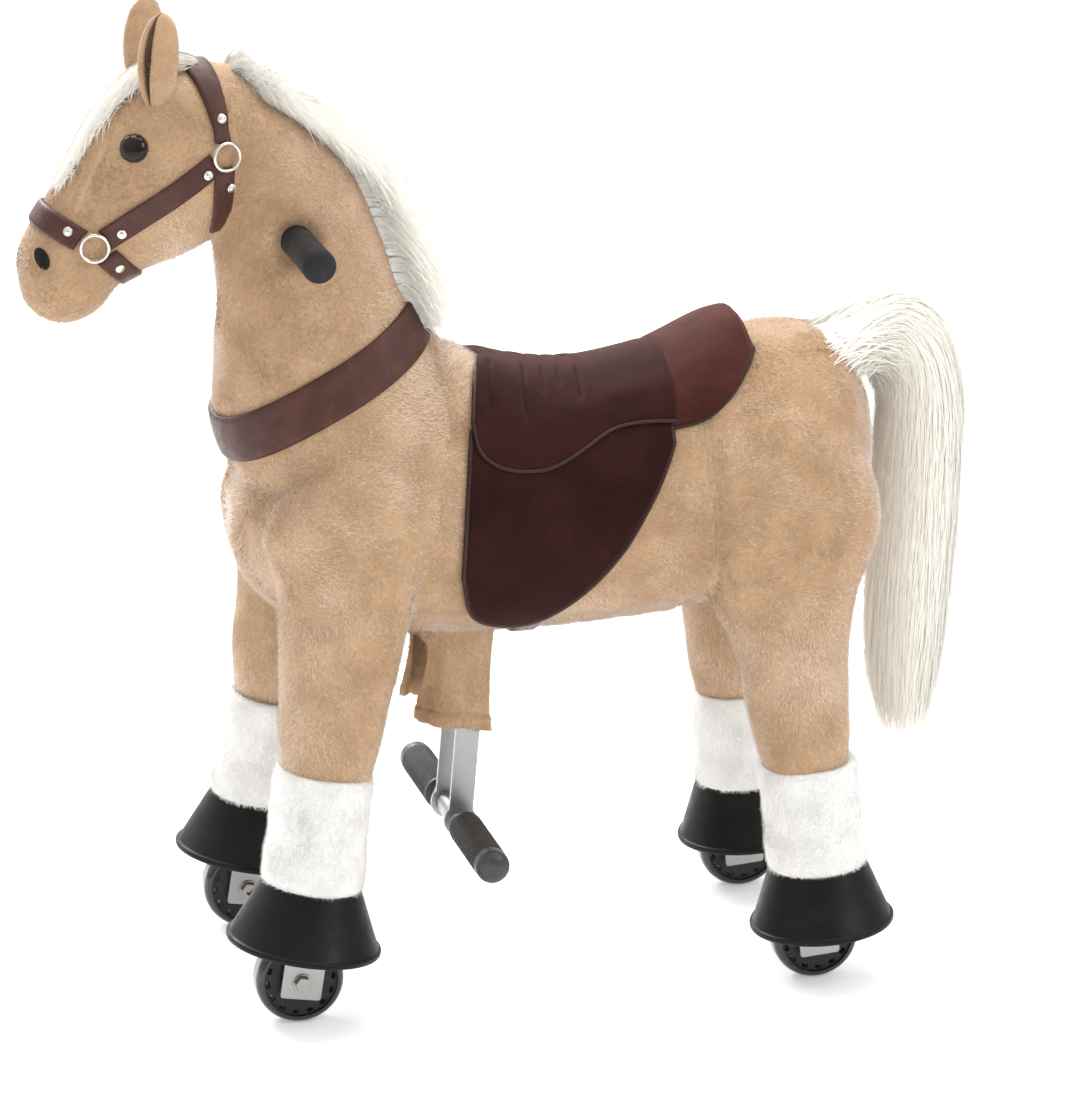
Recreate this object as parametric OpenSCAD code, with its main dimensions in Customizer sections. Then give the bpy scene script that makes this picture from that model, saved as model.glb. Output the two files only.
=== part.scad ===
// Ride-on plush horse on wheels. It faces -X, its left side is -Y, it stands on Z = 0.

/* [Wheels] */
// Outer diameter of each wheel
wheel_d = 80; // [74:1:84]
// Width of the tyre
wheel_w = 28; // [24:1:32]
// Diameter of the rim that the tyre is moulded on
rim_d = 67; // [62:1:70]
// Width of the rim
rim_w = 22; // [18:1:23]
// Outer diameter of the one-way bearing
bearing_d = 22; // [18:1:26]
// Diameter of the axle bolts
axle_d = 8; // [6:1:10]
// Slots through each rim
slot_count = 14; // [8:1:16]
// Length of one slot
slot_l = 7; // [5:0.5:9]
// Width of one slot
slot_w = 4; // [2:0.5:5]
// Distance between left and right wheels
track = 254; // [246:1:262]

/* [Wheel brackets] */
// Length of a bracket plate fore and aft
bracket_l = 37; // [32:1:42]
// Sheet thickness of the brackets
bracket_t = 3; // [2:0.5:4]
// Space between tyre and bracket plate
bracket_side_gap = 3; // [2:0.5:5]
// Space above the tyre inside the bracket
bracket_head_gap = 4; // [3:0.5:6]
// Bracket plate below the axle
bracket_drop = 15; // [12:1:18]
// Diameter of the steering pin on a front bracket
kingpin_d = 16; // [12:1:18]
// Length of the steering pin
kingpin_l = 52; // [40:1:60]
// Width of an axle bolt head across its corners
bolt_head_d = 15; // [12:0.5:17]
// Height of an axle bolt head
bolt_head_h = 5; // [3:0.5:7]
// Outer diameter of a washer
washer_d = 18; // [15:0.5:20]
// Thickness of a washer
washer_t = 1.5; // [1:0.25:2]

/* [Legs] */
// Height of the leg pivots above the floor
pivot_z = 430; // [420:1:440]
// Front leg pivot fore and aft
front_pivot_x = -160; // [-166:1:-154]
// Rear leg pivot fore and aft
rear_pivot_x = 235; // [229:1:241]
// Forward lean of the front legs at rest
front_lean = 9; // [7:0.5:10]
// Backward lean of the rear legs at rest
rear_lean = 4.7; // [3:0.1:6]
// How far the legs swing together from rest
leg_swing = 9; // [6:0.5:9]
// Rear axle ahead of its leg
rear_wheel_shift = 9; // [4:0.5:12]
// Distance between the leg tubes at the pivots
hip_track = 172; // [166:1:178]
// Diameter of the leg tubes
leg_tube_d = 25; // [22:1:28]
// Wall of the leg tubes
leg_tube_wall = 2; // [1.5:0.25:3]
// Diameter of the pivot shafts
shaft_d = 20; // [18:1:22]
// Length of the pivot shafts
shaft_l = 204; // [196:1:208]
// Outer diameter of the collars on the pivot shafts
collar_d = 34; // [30:1:36]
// Width of the collars on the pivot shafts
collar_w = 28; // [24:1:32]
// Outer diameter of the sleeve at the foot of a leg tube
sleeve_d = 30; // [27:1:32]
// Length of that sleeve
sleeve_l = 66; // [60:1:70]
// Radius of the shoulder about its pivot
shoulder_r = 72; // [68:1:74]
// Radius of the haunch about its pivot
haunch_r = 100; // [96:1:102]
// Inner face of the leg plush from the middle
leg_inner_y = 60; // [57:1:63]
// Thickness of the leg plush at the pivots
leg_thick = 84; // [78:1:90]
// Height of the top of a front hoof above the floor
front_hoof_z = 115.9; // [112:0.1:120]
// Height of the top of a rear hoof above the floor
rear_hoof_z = 96.1; // [94:0.1:99]
// Length of a front sock
front_sock_l = 110; // [100:1:120]
// Length of a rear sock
rear_sock_l = 103; // [94:1:112]
// Diameter of a sock at its foot
sock_d = 93; // [88:1:96]

/* [Hooves] */
// Hoof diameter at the top
hoof_top_d = 90; // [86:1:94]
// Front hoof diameter at the ground rim
front_hoof_d = 140; // [134:1:144]
// Rear hoof diameter at the ground rim
rear_hoof_d = 132; // [128:1:138]
// Height of a hoof
hoof_h = 46; // [42:1:48]
// Rubber thickness of a hoof wall
hoof_wall = 5; // [4:0.5:6]
// Rubber thickness of a hoof top
hoof_roof = 6; // [5:0.5:6.5]
// Height of the raised lip at the rim
hoof_lip_h = 5; // [4:0.5:7]
// How far the lip stands out
hoof_lip_t = 1.5; // [1:0.25:2.5]

/* [Frame] */
// Width of the spine tube
spine_w = 30; // [26:1:32]
// Height of the spine tube
spine_h = 40; // [36:1:44]
// Space between the seat board and the stuffing over it
seat_gap = 13; // [11:1:15]
// Spine ahead of the footrest arm
spine_reach = 90; // [84:1:94]
// Outer diameter of the pivot hubs
hub_d = 40; // [36:1:44]
// Width of the pivot hubs
hub_w = 60; // [54:1:62]
// Diameter of the struts between spine and hubs
strut_d = 26; // [22:1:28]
// Length of the seat board
seat_board_l = 205; // [190:1:215]
// Width of the seat board
seat_board_w = 88; // [80:1:92]
// Thickness of the seat board
seat_board_t = 12; // [10:1:14]
// Middle of the seat board fore and aft
seat_board_x = 62; // [56:1:68]

/* [Steering] */
// Forward lean of the steering column
column_lean = 25.2; // [23:0.1:27]
// Diameter of the steering column
column_d = 28; // [25:1:30]
// Wall of the steering column
column_wall = 2.5; // [2:0.25:4]
// Outer diameter of the head tube
head_tube_d = 40; // [38:1:44]
// Length of the head tube
head_tube_l = 83; // [76:1:86]
// Depth of the head tube below the neck joint
head_tube_drop = 22; // [20:1:24]
// Handlebar above the neck joint, along the column
bar_rise = 119.5; // [114:0.5:125]
// Diameter of the handlebar tube
bar_d = 22; // [20:1:24]
// Wall of the handlebar and footrest tubes
bar_wall = 2; // [1.5:0.25:3]
// Diameter of the clamp that holds the handlebar
clamp_d = 33; // [31:1:36]
// Width of that clamp
clamp_w = 44; // [38:1:50]
// Overall width across the hand grips
grips_w = 300; // [290:1:312]
// Diameter of a hand grip
grip_d = 29; // [27:0.5:30]
// Length of a hand grip
grip_l = 94; // [88:1:98]
// Rubber beyond the end of a tube, in both kinds of grip
grip_end_t = 4; // [3:0.5:6]

/* [Footrest] */
// Footrest arm pivot fore and aft
lever_x = -25; // [-29:1:-21]
// Forward lean of the footrest arm
lever_lean = 4.9; // [4:0.1:6]
// Footrest below the arm pivot, along the arm
lever_l = 291; // [284:1:298]
// Share of the leg swing that the footrest arm makes
lever_swing_share = 0.5; // [0.4:0.05:0.5]
// Width of an arm plate
lever_plate_w = 22; // [20:1:24]
// Thickness of an arm plate
lever_plate_t = 4; // [3:0.5:5]
// Distance between the arm plates
lever_plates_gap = 50; // [48:1:54]
// Diameter of the footrest tube
foot_bar_d = 22; // [20:1:24]
// Overall width across the footrests
foot_w = 334; // [326:1:342]
// Diameter of a footrest grip
foot_grip_d = 31; // [29:0.5:33]
// Length of a footrest grip
foot_grip_l = 118; // [112:1:124]
// Diameter of the link pins
pin_d = 8; // [7:0.5:9]
// Diameter of the footrest arm's pivot bolt
lever_bolt_d = 10; // [8:1:12]
// Crank length of the link to the footrest arm
lever_crank = 30; // [28:1:32]
// Crank length of the link between front and rear legs
gait_crank = 45; // [42:1:48]
// Thickness of a link or a crank
link_t = 6; // [5:0.5:7]
// Width of a link
link_w = 14; // [12:1:16]

/* [Belly sleeve] */
// Length of the cloth sleeve fore and aft
cloth_x = 80; // [76:1:84]
// Width of the cloth sleeve
cloth_y = 104; // [98:1:110]
// Hanging length of the cloth sleeve
cloth_z = 80; // [72:1:86]
// Thickness of the cloth sleeve
cloth_t = 4; // [3:0.5:5]
// Depth of its folds
fold_depth = 5; // [2:0.5:7]
// Number of its folds
fold_count = 8; // [6:1:10]

/* [Body] */
// Front of the barrel
barrel_x = -256; // [-262:1:-250]
// Length of the barrel
barrel_l = 605; // [597:1:613]
// Drop from the leg pivots to the belly
belly_drop = 110; // [107:1:114]
// Depth of the barrel from back to belly
barrel_h = 257; // [252:1:262]
// Width of the barrel
barrel_w = 240; // [234:1:246]
// Thickness of the stuffing round the frame
plush_wall = 22; // [19:1:23]
// Tail below its root
tail_drop = 420; // [400:1:430]
// Reach of the tail behind its root
tail_reach = 110; // [104:1:116]
// Root of the tail ahead of the end of the barrel
tail_in = 19; // [15:1:21]
// Top of the tail above the back
tail_rise = 25; // [19:1:31]
// Width of the tail
tail_w = 66; // [58:1:74]

/* [Neck and head] */
// Middle of the neck joint behind the front of the barrel
neck_back = 81.5; // [78:0.5:85]
// Length of the neck
neck_l = 262; // [256:1:268]
// Depth of the neck at its joint
neck_h = 202; // [196:1:206]
// Width of the neck at its joint
neck_w = 168; // [162:1:174]
// Steering column behind the middle of the neck joint
column_shift = 28; // [25:0.5:31]
// Poll, where the head starts, ahead of the neck joint
poll_fore = 87.5; // [84.5:0.5:90.5]
// Poll above the neck joint
poll_rise = 213; // [209:1:217]
// Slope of the head below the horizontal
head_slope = 41; // [38:0.5:44]
// Length of the head from the poll to the nose
head_l = 226; // [220:1:232]
// Depth of the head
head_h = 148; // [143:1:153]
// Width of the head
head_w = 120; // [115:1:125]
// Height of an ear
ear_h = 88; // [80:1:94]
// Width of an ear
ear_w = 38; // [34:1:42]
// Thickness of an ear
ear_t = 20; // [16:1:24]
// Diameter of an eye
eye_d = 25; // [22:0.5:28]
// Thickness of the mane on the crest
mane_t = 52; // [44:1:58]
// Thickness of the forelock
forelock_t = 14; // [10:1:18]

/* [Tack] */
// Width of the breast collar
collar_strap_w = 46; // [40:1:48]
// Thickness of the breast collar
collar_strap_t = 3; // [2.5:0.25:4]
// Width of the halter straps
strap_w = 22; // [19:1:24]
// Thickness of the halter straps
strap_t = 2.5; // [2:0.25:3]
// Diameter of the halter rings
ring_d = 27; // [25:1:30]
// Wire of the halter rings
ring_wire = 3.2; // [2.5:0.1:4]
// Diameter of the rivets
rivet_d = 7; // [6:0.5:8]
// Height of the rivets
rivet_h = 2; // [1.5:0.25:2.5]
// Front of the saddle
saddle_x = -66; // [-69:1:-64]
// Length of the saddle flaps
flap_l = 195; // [187:1:199]
// How far the top of a flap is drawn back
flap_draw = 14; // [10:1:18]
// Thickness of the saddle flaps
flap_t = 6; // [5:0.5:8]
// Thickness of the saddle seat
seat_t = 14; // [11:0.5:16]
// How far the seat is drawn back over the spine
seat_draw = 24; // [18:1:28]
// Height of the cantle over the back
cantle_t = 32; // [28:1:36]
// Length of the cantle
cantle_l = 88; // [84:1:92]
// Width of the girth
girth_w = 22; // [18:1:24]
// Thickness of the girth
girth_t = 3; // [2.5:0.25:4]

/* [Hidden] */
$fn = 48;
// Running clearance of a shaft in its bore
run_gap = 0.05;
// Clearance between pieces that sit together
fit_gap = 0.3;
// Clearance between leg plush and body
swing_gap = 1.5;
// Clearance at the neck joint
neck_gap = 1.2;
// Clearance of the open link pivots
link_gap = 0.6;
// Cutters run this far past what they cut
over = 2;
// Clearance between bracket sheet and sleeve
thrust_gap = 0.5;
// Space between soft covers and the form beneath
skin_gap = 0.6;
// Space between the saddle and the back
saddle_gap = 0.97;
// Halter rings stand this far off the straps
ring_lift = 1.4;
// Share that rounds the sections of the stuffed forms
round_share = 0.9;
// Share of the radius that a leg needs below its round window
shoulder_slot_share = 0.86;
haunch_slot_share = 0.74;
// Share of the leg's thickness at which its middle starts
leg_mid_share = 0.3;
// Size of the arm pivot's bolt heads and spacers, as shares of the bolt
bolt_head_share = 1.6;
spacer_share = 1.8;
// Roundness of the tyre, as shares of its height and width
tyre_rise_share = 0.95;
tyre_run_share = 0.3;
// Squareness of the belly sleeve, and the share of its folds that the arm leaves room for
square_share = 0.5;
fold_room_share = 1;
// How the mane spreads and narrows
mane_spread_share = 0.12;
mane_narrow_share = 0.1;
// How fast the saddle thins to its edges
crown_share = 0.8;
// Hollow of the ear's inner face
ear_cup_share = 0.45;
// Height of the neck joint and of the back's lowest place on the barrel
neck_joint_share = 1;
back_dip_share = 0.891;
// Places of eyes, ears and forelock on the head
eye_along_share = 0.273;
eye_up_share = -0.68;
eye_out_share = 0.7;
ear_along_share = 0.075;
ear_up_share = -0.9;
ear_tip_out_share = 0.2;
forelock_from_share = 0.0;
forelock_to_share = 0.34;
// Places of the halter on the head, and of the girth under the saddle
noseband_along_share = 0.63;
noseband_tilt_share = -0.3;
crown_from_share = 0.05;
crown_tilt_share = 0.5;
girth_x_share = 0.36;
// Angles round the sections that the soft covers start at
mane_angle = 244;
forelock_angle = 246;
flap_tuck_angle = 1.5;
girth_tuck_angle = 3;
ring_n = 32;
far = barrel_w;
wheel_r = wheel_d / 2;
belly_z = pivot_z - belly_drop;
front_hoof_drop = (pivot_z - front_hoof_z) / cos(front_lean);
rear_hoof_drop = (pivot_z - rear_hoof_z) / cos(rear_lean);
front_axle_drop = (pivot_z - wheel_r) / cos(front_lean);
rear_axle_drop = (pivot_z - wheel_r - rear_wheel_shift * sin(rear_lean)) / cos(rear_lean);
bracket_in = wheel_w / 2 + bracket_side_gap;
bracket_out = bracket_in + bracket_t;
front_head_drop = front_axle_drop - wheel_r - bracket_head_gap - bracket_t;
rear_head_drop = rear_axle_drop - wheel_r - bracket_head_gap - bracket_t;
lever_plate_in = lever_plates_gap / 2;
lever_plate_out = lever_plate_in + lever_plate_t;
crank_in = hub_w / 2 + 2 * swing_gap;
crank_out = crank_in + link_t;
link_in = crank_out + thrust_gap;
link_out = link_in + link_t;
pin_end = link_out + swing_gap;
lever_arm = lever_crank / lever_swing_share;
column_foot = head_tube_drop + head_tube_l;
neck_x = barrel_x + neck_back;
neck_z = belly_z + barrel_h * neck_joint_share;
poll_x = neck_x - poll_fore;
poll_z = neck_z + poll_rise;
tail_x = barrel_x + barrel_l - tail_in;
tail_z = belly_z + barrel_h + tail_rise;
seat_z = belly_z + barrel_h * back_dip_share - plush_wall - seat_gap - seat_board_t;
spine_z = seat_z - spine_h;
red_brown = [0.30, 0.17, 0.12];
strap_brown = [0.40, 0.22, 0.13];
tan_plush = [0.80, 0.66, 0.50];
cream = [0.94, 0.92, 0.86];
black_rubber = [0.10, 0.10, 0.11];
steel = [0.66, 0.67, 0.68];

// Shares of the stuffed forms: along, above, below, half width
barrel_shares = [
    [0.000, 0.553, 0.381, 0.250], [0.020, 0.615, 0.253, 0.550], [0.060, 0.689, 0.140, 0.770],
    [0.120, 0.763, 0.070, 0.917], [0.200, 0.860, 0.027, 0.983], [0.310, 0.985, 0.008, 1.000],
    [0.370, 0.972, 0.000, 0.992], [0.450, 0.911, 0.000, 0.983], [0.550, 0.891, 0.008, 0.975],
    [0.650, 0.926, 0.031, 0.975], [0.750, 0.981, 0.070, 1.000], [0.830, 1.000, 0.125, 1.000],
    [0.900, 0.977, 0.218, 0.917], [0.950, 0.914, 0.319, 0.733], [0.985, 0.809, 0.436, 0.450],
    [1.000, 0.700, 0.553, 0.183]];
// Where the barrel is cut into rings
barrel_step_shares = [0, 0.008, 0.02, 0.04, 0.07, 0.11, 0.16, 0.21, 0.26, 0.3, 0.325, 0.35, 0.375, 0.4,
    0.425, 0.45, 0.475, 0.5, 0.53, 0.56, 0.59, 0.62, 0.65, 0.69, 0.73, 0.78, 0.83, 0.87, 0.91, 0.94,
    0.965, 0.985, 0.995, 1];
// Where the hollow inside the barrel is cut into rings
hollow_step_shares = [0.05, 0.1, 0.16, 0.24, 0.34, 0.45, 0.56, 0.67, 0.78, 0.86, 0.92, 0.95];
// Neck above the joint, then its root below it: along, front, back, half width
neck_shares = [
    [-0.50, 0.80, -0.66, 0.94], [-0.34, 1.05, -0.92, 1.19], [-0.176, 1.08, -0.985, 1.14],
    [0.000, 1.000, -1.000, 1.000], [0.153, 0.790, -0.995, 0.917], [0.290, 0.594, -1.040, 0.820],
    [0.458, 0.416, -1.070, 0.726], [0.573, 0.297, -1.040, 0.680], [0.763, 0.080, -0.850, 0.620],
    [0.916, -0.120, -0.614, 0.524], [1.000, -0.277, -0.455, 0.262]];
neck_step_shares = [0, 0.08, 0.16, 0.24, 0.32, 0.4, 0.48, 0.56, 0.64, 0.72, 0.8, 0.87, 0.93, 0.97, 1];
root_step_shares = [-0.5, -0.42, -0.34, -0.26, -0.176, -0.09, 0];
// Head: along, jaw, forehead, half width
head_shares = [
    [-0.265, 0.034, -0.203, 0.33], [-0.133, 0.405, -0.703, 0.67], [0.044, 0.784, -1.041, 0.92],
    [0.279, 0.919, -1.081, 1.00], [0.509, 0.730, -0.892, 0.82], [0.664, 0.568, -0.770, 0.70],
    [0.810, 0.622, -0.622, 0.75], [0.907, 0.554, -0.446, 0.67], [0.969, 0.392, -0.189, 0.43],
    [1.000, 0.162, -0.027, 0.13]];
head_step_shares = [-0.265, -0.2, -0.133, -0.05, 0.04, 0.13, 0.22, 0.3, 0.38, 0.46, 0.54, 0.61, 0.68,
    0.75, 0.81, 0.86, 0.907, 0.945, 0.969, 0.988, 1];
// Leg plush above and below its pivot: along, half length, half thickness, middle
shoulder_shares = [
    [-1.000, 0.140, 0.524, 0.04], [-0.944, 0.333, 0.667, 0.06], [-0.764, 0.639, 0.810, 0.08],
    [-0.417, 0.903, 0.929, 0.08], [0.000, 1.000, 1.000, 0.08]];
front_leg_shares = [
    [0.000, 1.000, 1.000, 0.08], [0.096, 0.958, 1.024, 0.09], [0.192, 0.847, 1.048, 0.12],
    [0.360, 0.792, 1.095, 0.15], [0.650, 0.694, 1.071, 0.22], [0.843, 0.625, 1.000, 0.28],
    [1.000, 0.583, 0.952, 0.33]];
haunch_shares = [
    [-1.000, 0.120, 0.571, 0.00], [-0.940, 0.340, 0.714, 0.03], [-0.750, 0.660, 0.905, 0.06],
    [-0.400, 0.910, 1.048, 0.08], [0.000, 1.000, 1.119, 0.10]];
rear_leg_shares = [
    [0.000, 1.000, 1.119, 0.10], [0.173, 0.910, 1.143, 0.12], [0.302, 0.710, 1.143, 0.14],
    [0.497, 0.560, 1.119, 0.18], [0.734, 0.490, 1.048, 0.24], [1.000, 0.440, 0.976, 0.33]];
sock_shares = [[0, 0.915], [0.3, 0.93], [0.6, 0.965], [0.85, 1], [1, 0.975]];
// Saddle edges: along the saddle, height on the barrel
flap_low_shares = [[0, 0.31], [0.04, 0.19], [0.1, 0.125], [0.22, 0.088], [0.34, 0.09], [0.44, 0.128],
    [0.6, 0.236], [0.75, 0.373], [0.86, 0.508], [0.94, 0.62], [1, 0.715]];
seat_low_shares = [[0, 0.82], [0.035, 0.745], [0.1, 0.7], [0.18, 0.674], [0.26, 0.664], [0.36, 0.662],
    [0.45, 0.68], [0.53, 0.706], [0.68, 0.756], [0.83, 0.772], [1, 0.775]];
cantle_low_shares = [[0, 0.76], [0.36, 0.815], [0.64, 0.885], [0.82, 0.945], [1, 0.985]];
cantle_thick_shares = [[0, 0.5], [0.3, 0.72], [0.65, 1], [0.9, 0.92], [1, 0.6]];
// Tail: outer edge, inner edge, half width
tail_shares = [
    [-0.14, 0.130, -0.04, 0.195, 0.24], [0.00, 0.080, 0.055, 0.150, 0.36],
    [0.16, 0.015, 0.19, 0.115, 0.62], [0.45, 0.000, 0.30, 0.115, 0.85],
    [0.78, 0.065, 0.34, 0.150, 0.97], [0.97, 0.195, 0.34, 0.235, 1.00], [1.00, 0.35, 0.315, 0.37, 1.00],
    [0.92, 0.52, 0.28, 0.53, 0.97], [0.80, 0.70, 0.22, 0.70, 0.88], [0.69, 0.86, 0.18, 0.85, 0.70],
    [0.58, 1.000, 0.24, 0.985, 0.30]];
mane_shares = [[0, 0.55], [0.2, 0.85], [0.5, 1], [0.8, 0.96], [1, 0.62]];
ear_shares = [[0, 0.56], [0.2, 0.84], [0.45, 1], [0.7, 0.94], [0.88, 0.7], [0.96, 0.42], [1, 0.12]];
forelock_shares = [[0, 0.5], [0.4, 1], [0.8, 0.7], [1, 0.3]];
seat_thick_shares = [[0, 0.7], [0.2, 1], [0.5, 0.95], [0.8, 1.1], [1, 1.2]];
// Places of the halter rings: along the head, towards the jaw
nose_ring_shares = [0.642, -0.12];
cheek_ring_shares = [0.06, 0.17];
throat_end_shares = [0.25, 0.76];
// Rivets on the straps: along the head, towards the jaw
rivet_shares = [[0.545, -0.05], [0.16, 0.13], [0.1, 0.36]];

function row_of(t, x, i = 0) = (i >= len(t) - 2 || x <= t[i + 1][0]) ? i : row_of(t, x, i + 1);
function slope_of(t, i, c) =
    let (a = max(i - 1, 0), b = min(i + 1, len(t) - 1))
    (t[b][c] - t[a][c]) / (t[b][0] - t[a][0]);
// Smooth value of one column of a table of shares
function look(t, x, c = 1) =
    let (i = row_of(t, x), h = t[i + 1][0] - t[i][0], s = (x - t[i][0]) / h)
    (2 * s^3 - 3 * s^2 + 1) * t[i][c] + (s^3 - 2 * s^2 + s) * h * slope_of(t, i, c)
    + (3 * s^2 - 2 * s^3) * t[i + 1][c] + (s^3 - s^2) * h * slope_of(t, i + 1, c);
function bend(v) = sign(v) * pow(abs(v), round_share);
// One point of a section [along, above, below, half width]
function on_ring(st, a, off = 0) =
    let (mid = (st[1] + st[2]) / 2, half = (st[1] - st[2]) / 2)
    [st[0], (st[3] + off) * bend(cos(a)), mid + (half + off) * bend(sin(a))];
// Half width of a section at a height
function reach(st, z) =
    let (mid = (st[1] + st[2]) / 2, half = (st[1] - st[2]) / 2, k = min(1, abs(z - mid) / half))
    st[3] * pow(max(0, 1 - pow(k, 2 / round_share)), round_share / 2);
function barrel_at(s) =
    [barrel_x + barrel_l * s, belly_z + barrel_h * look(barrel_shares, s, 1),
     belly_z + barrel_h * look(barrel_shares, s, 2), barrel_w / 2 * look(barrel_shares, s, 3)];
function hollow_at(s) =
    let (b = barrel_at(s)) [b[0], b[1] - plush_wall, b[2] + plush_wall, b[3] - plush_wall];
function barrel_share(x) = (x - barrel_x) / barrel_l;
function neck_at(s) =
    [neck_l * s, neck_h / 2 * look(neck_shares, s, 1), neck_h / 2 * look(neck_shares, s, 2),
     neck_w / 2 * look(neck_shares, s, 3)];
function head_at(s) =
    [head_l * s, head_h / 2 * look(head_shares, s, 1), head_h / 2 * look(head_shares, s, 2),
     head_w / 2 * look(head_shares, s, 3)];
function ring_of(st, n, off = 0) = [for (i = [0:n - 1]) on_ring(st, 360 * i / n, off)];

// Closed skin over rings of equal count
module skin(rings) {
    n = len(rings[0]);
    m = len(rings);
    points = [for (r = rings) each r];
    sides = [for (i = [0:m - 2], j = [0:n - 1]) let (k = (j + 1) % n)
        each [[i * n + j, (i + 1) * n + j, (i + 1) * n + k], [i * n + j, (i + 1) * n + k, i * n + k]]];
    first = [for (j = [0:n - 1]) j];
    last = [for (j = [n - 1:-1:0]) (m - 1) * n + j];
    polyhedron(points, concat(sides, [first], [last]), convexity = 8);
}

// Solid between an outer and an inner sheet of rows
module sheet(outer, inner) {
    m = len(outer);
    n = len(outer[0]);
    w = 2 * n;
    e = (m - 1) * w;
    points = [for (i = [0:m - 1]) each concat(outer[i], [for (j = [n - 1:-1:0]) inner[i][j]])];
    sides = [for (i = [0:m - 2], j = [0:w - 1]) let (k = (j + 1) % w)
        each [[i * w + j, (i + 1) * w + j, (i + 1) * w + k], [i * w + j, (i + 1) * w + k, i * w + k]]];
    ends = [for (j = [0:n - 2]) each [
        [j, j + 1, w - 2 - j], [j, w - 2 - j, w - 1 - j],
        [e + j + 1, e + j, e + w - 1 - j], [e + j + 1, e + w - 1 - j, e + w - 2 - j]]];
    polyhedron(points, concat(sides, ends), convexity = 8);
}

// Tube wall between outer and inner closed rings
module band(outer, inner) {
    n = len(outer[0]);
    m = len(outer);
    points = concat([for (r = outer) each r], [for (r = inner) each r]);
    b = n * m;
    out = [for (i = [0:m - 2], j = [0:n - 1]) let (k = (j + 1) % n)
        each [[i * n + j, (i + 1) * n + j, (i + 1) * n + k], [i * n + j, (i + 1) * n + k, i * n + k]]];
    inn = [for (f = out) [f[2] + b, f[1] + b, f[0] + b]];
    e = (m - 1) * n;
    ends = [for (j = [0:n - 1]) let (k = (j + 1) % n)
        each [[j, k, b + k], [j, b + k, b + j], [e + k, e + j, b + e + j], [e + k, b + e + j, b + e + k]]];
    polyhedron(points, concat(out, inn, ends), convexity = 8);
}

module both() {
    children();
    mirror([0, 1, 0]) children();
}

module across(d, l) {
    rotate([90, 0, 0]) cylinder(d = d, h = l, center = true);
}

// Round bar along Y between two distances from the middle
module side_bar(d, y1, y2) {
    translate([0, y2, 0]) rotate([90, 0, 0]) cylinder(d = d, h = y2 - y1);
}

module bar_between(a, b, d) {
    v = b - a;
    l = norm(v);
    translate(a) rotate([0, acos(v[2] / l), atan2(v[1], v[0])]) cylinder(d = d, h = l);
}

module box_of(lo, hi) {
    translate(lo) cube(hi - lo);
}

module at_front() {
    translate([front_pivot_x, 0, pivot_z]) children();
}

module at_rear() {
    translate([rear_pivot_x, 0, pivot_z]) children();
}

module on_front() {
    at_front() rotate([0, front_lean, 0]) children();
}

module on_rear() {
    at_rear() rotate([0, -rear_lean, 0]) children();
}

module on_lever() {
    translate([lever_x, 0, pivot_z]) rotate([0, lever_lean, 0]) children();
}

// Neck frame: X runs up the neck, Z points to the throat
module on_neck() {
    translate([neck_x, 0, neck_z]) rotate([0, -90 - column_lean, 0]) children();
}

// Head frame: X runs to the nose, Z points to the jaw
module on_head() {
    translate([poll_x, 0, poll_z]) rotate([0, 180 - head_slope, 0]) children();
}

// Column frame: Z runs up the steering axis from the neck joint
module on_column() {
    on_neck() translate([0, 0, -column_shift]) rotate([0, 90, 0]) children();
}

// Stuffed forms

module barrel_form() {
    skin([for (s = barrel_step_shares) ring_of(barrel_at(s), ring_n)]);
}

module hollow_form() {
    skin([for (s = hollow_step_shares) ring_of(hollow_at(s), ring_n / 2)]);
}

module neck_root_form() {
    on_neck() skin([for (s = root_step_shares) ring_of(neck_at(s), ring_n)]);
}

// Room that the saddle leaves for the root of the neck
module neck_root_room() {
    on_neck() skin([for (s = root_step_shares) ring_of(neck_at(s), ring_n, saddle_gap)]);
}

module neck_form() {
    on_neck() skin([for (s = neck_step_shares) ring_of(neck_at(s), ring_n)]);
}

module head_form() {
    on_head() skin([for (s = head_step_shares) ring_of(head_at(s), ring_n)]);
}

// Space that a slab sweeps as it swings between two angles
module swept(half, left, right, depth, y1, y2) {
    function at(a, x, z) = [x * cos(a) + z * sin(a), z * cos(a) - x * sin(a)];
    translate([0, y2, 0]) rotate([90, 0, 0]) linear_extrude(y2 - y1)
        polygon([at(left, -half, 0), at(left, -half, -depth), at(right, half, -depth), at(right, half, 0)]);
}

// Window in the body that a leg swings in
module leg_window(r, half, left, right) {
    inside = leg_inner_y - swing_gap;
    side_bar(2 * (r + swing_gap), inside, far);
    swept(half, left, right, far, inside, far);
}

module body_plush() {
    color(tan_plush) difference() {
        union() {
            barrel_form();
            neck_root_form();
        }
        hollow_form();
        on_column() {
            translate([0, 0, -column_foot - over])
                cylinder(d = head_tube_d + 2 * fit_gap, h = head_tube_l + over + fit_gap);
            translate([0, 0, -head_tube_drop]) cylinder(d = column_d + 2 * swing_gap, h = far);
        }
        on_neck() box_of([-neck_gap, -far, -far], [far, far, far]);
        at_front() both()
            leg_window(shoulder_r, shoulder_r * shoulder_slot_share, front_lean, front_lean - leg_swing);
        at_rear() both()
            leg_window(haunch_r, haunch_r * haunch_slot_share, leg_swing - rear_lean, -rear_lean);
        lever_slot();
    }
}

module lever_slot() {
    side = lever_plate_out + swing_gap;
    back = lever_lean - leg_swing * lever_swing_share;
    translate([lever_x, 0, pivot_z])
        swept(lever_plate_w / 2 + swing_gap, lever_lean, back, lever_l / 2, -side, side);
}

// Frame

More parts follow.
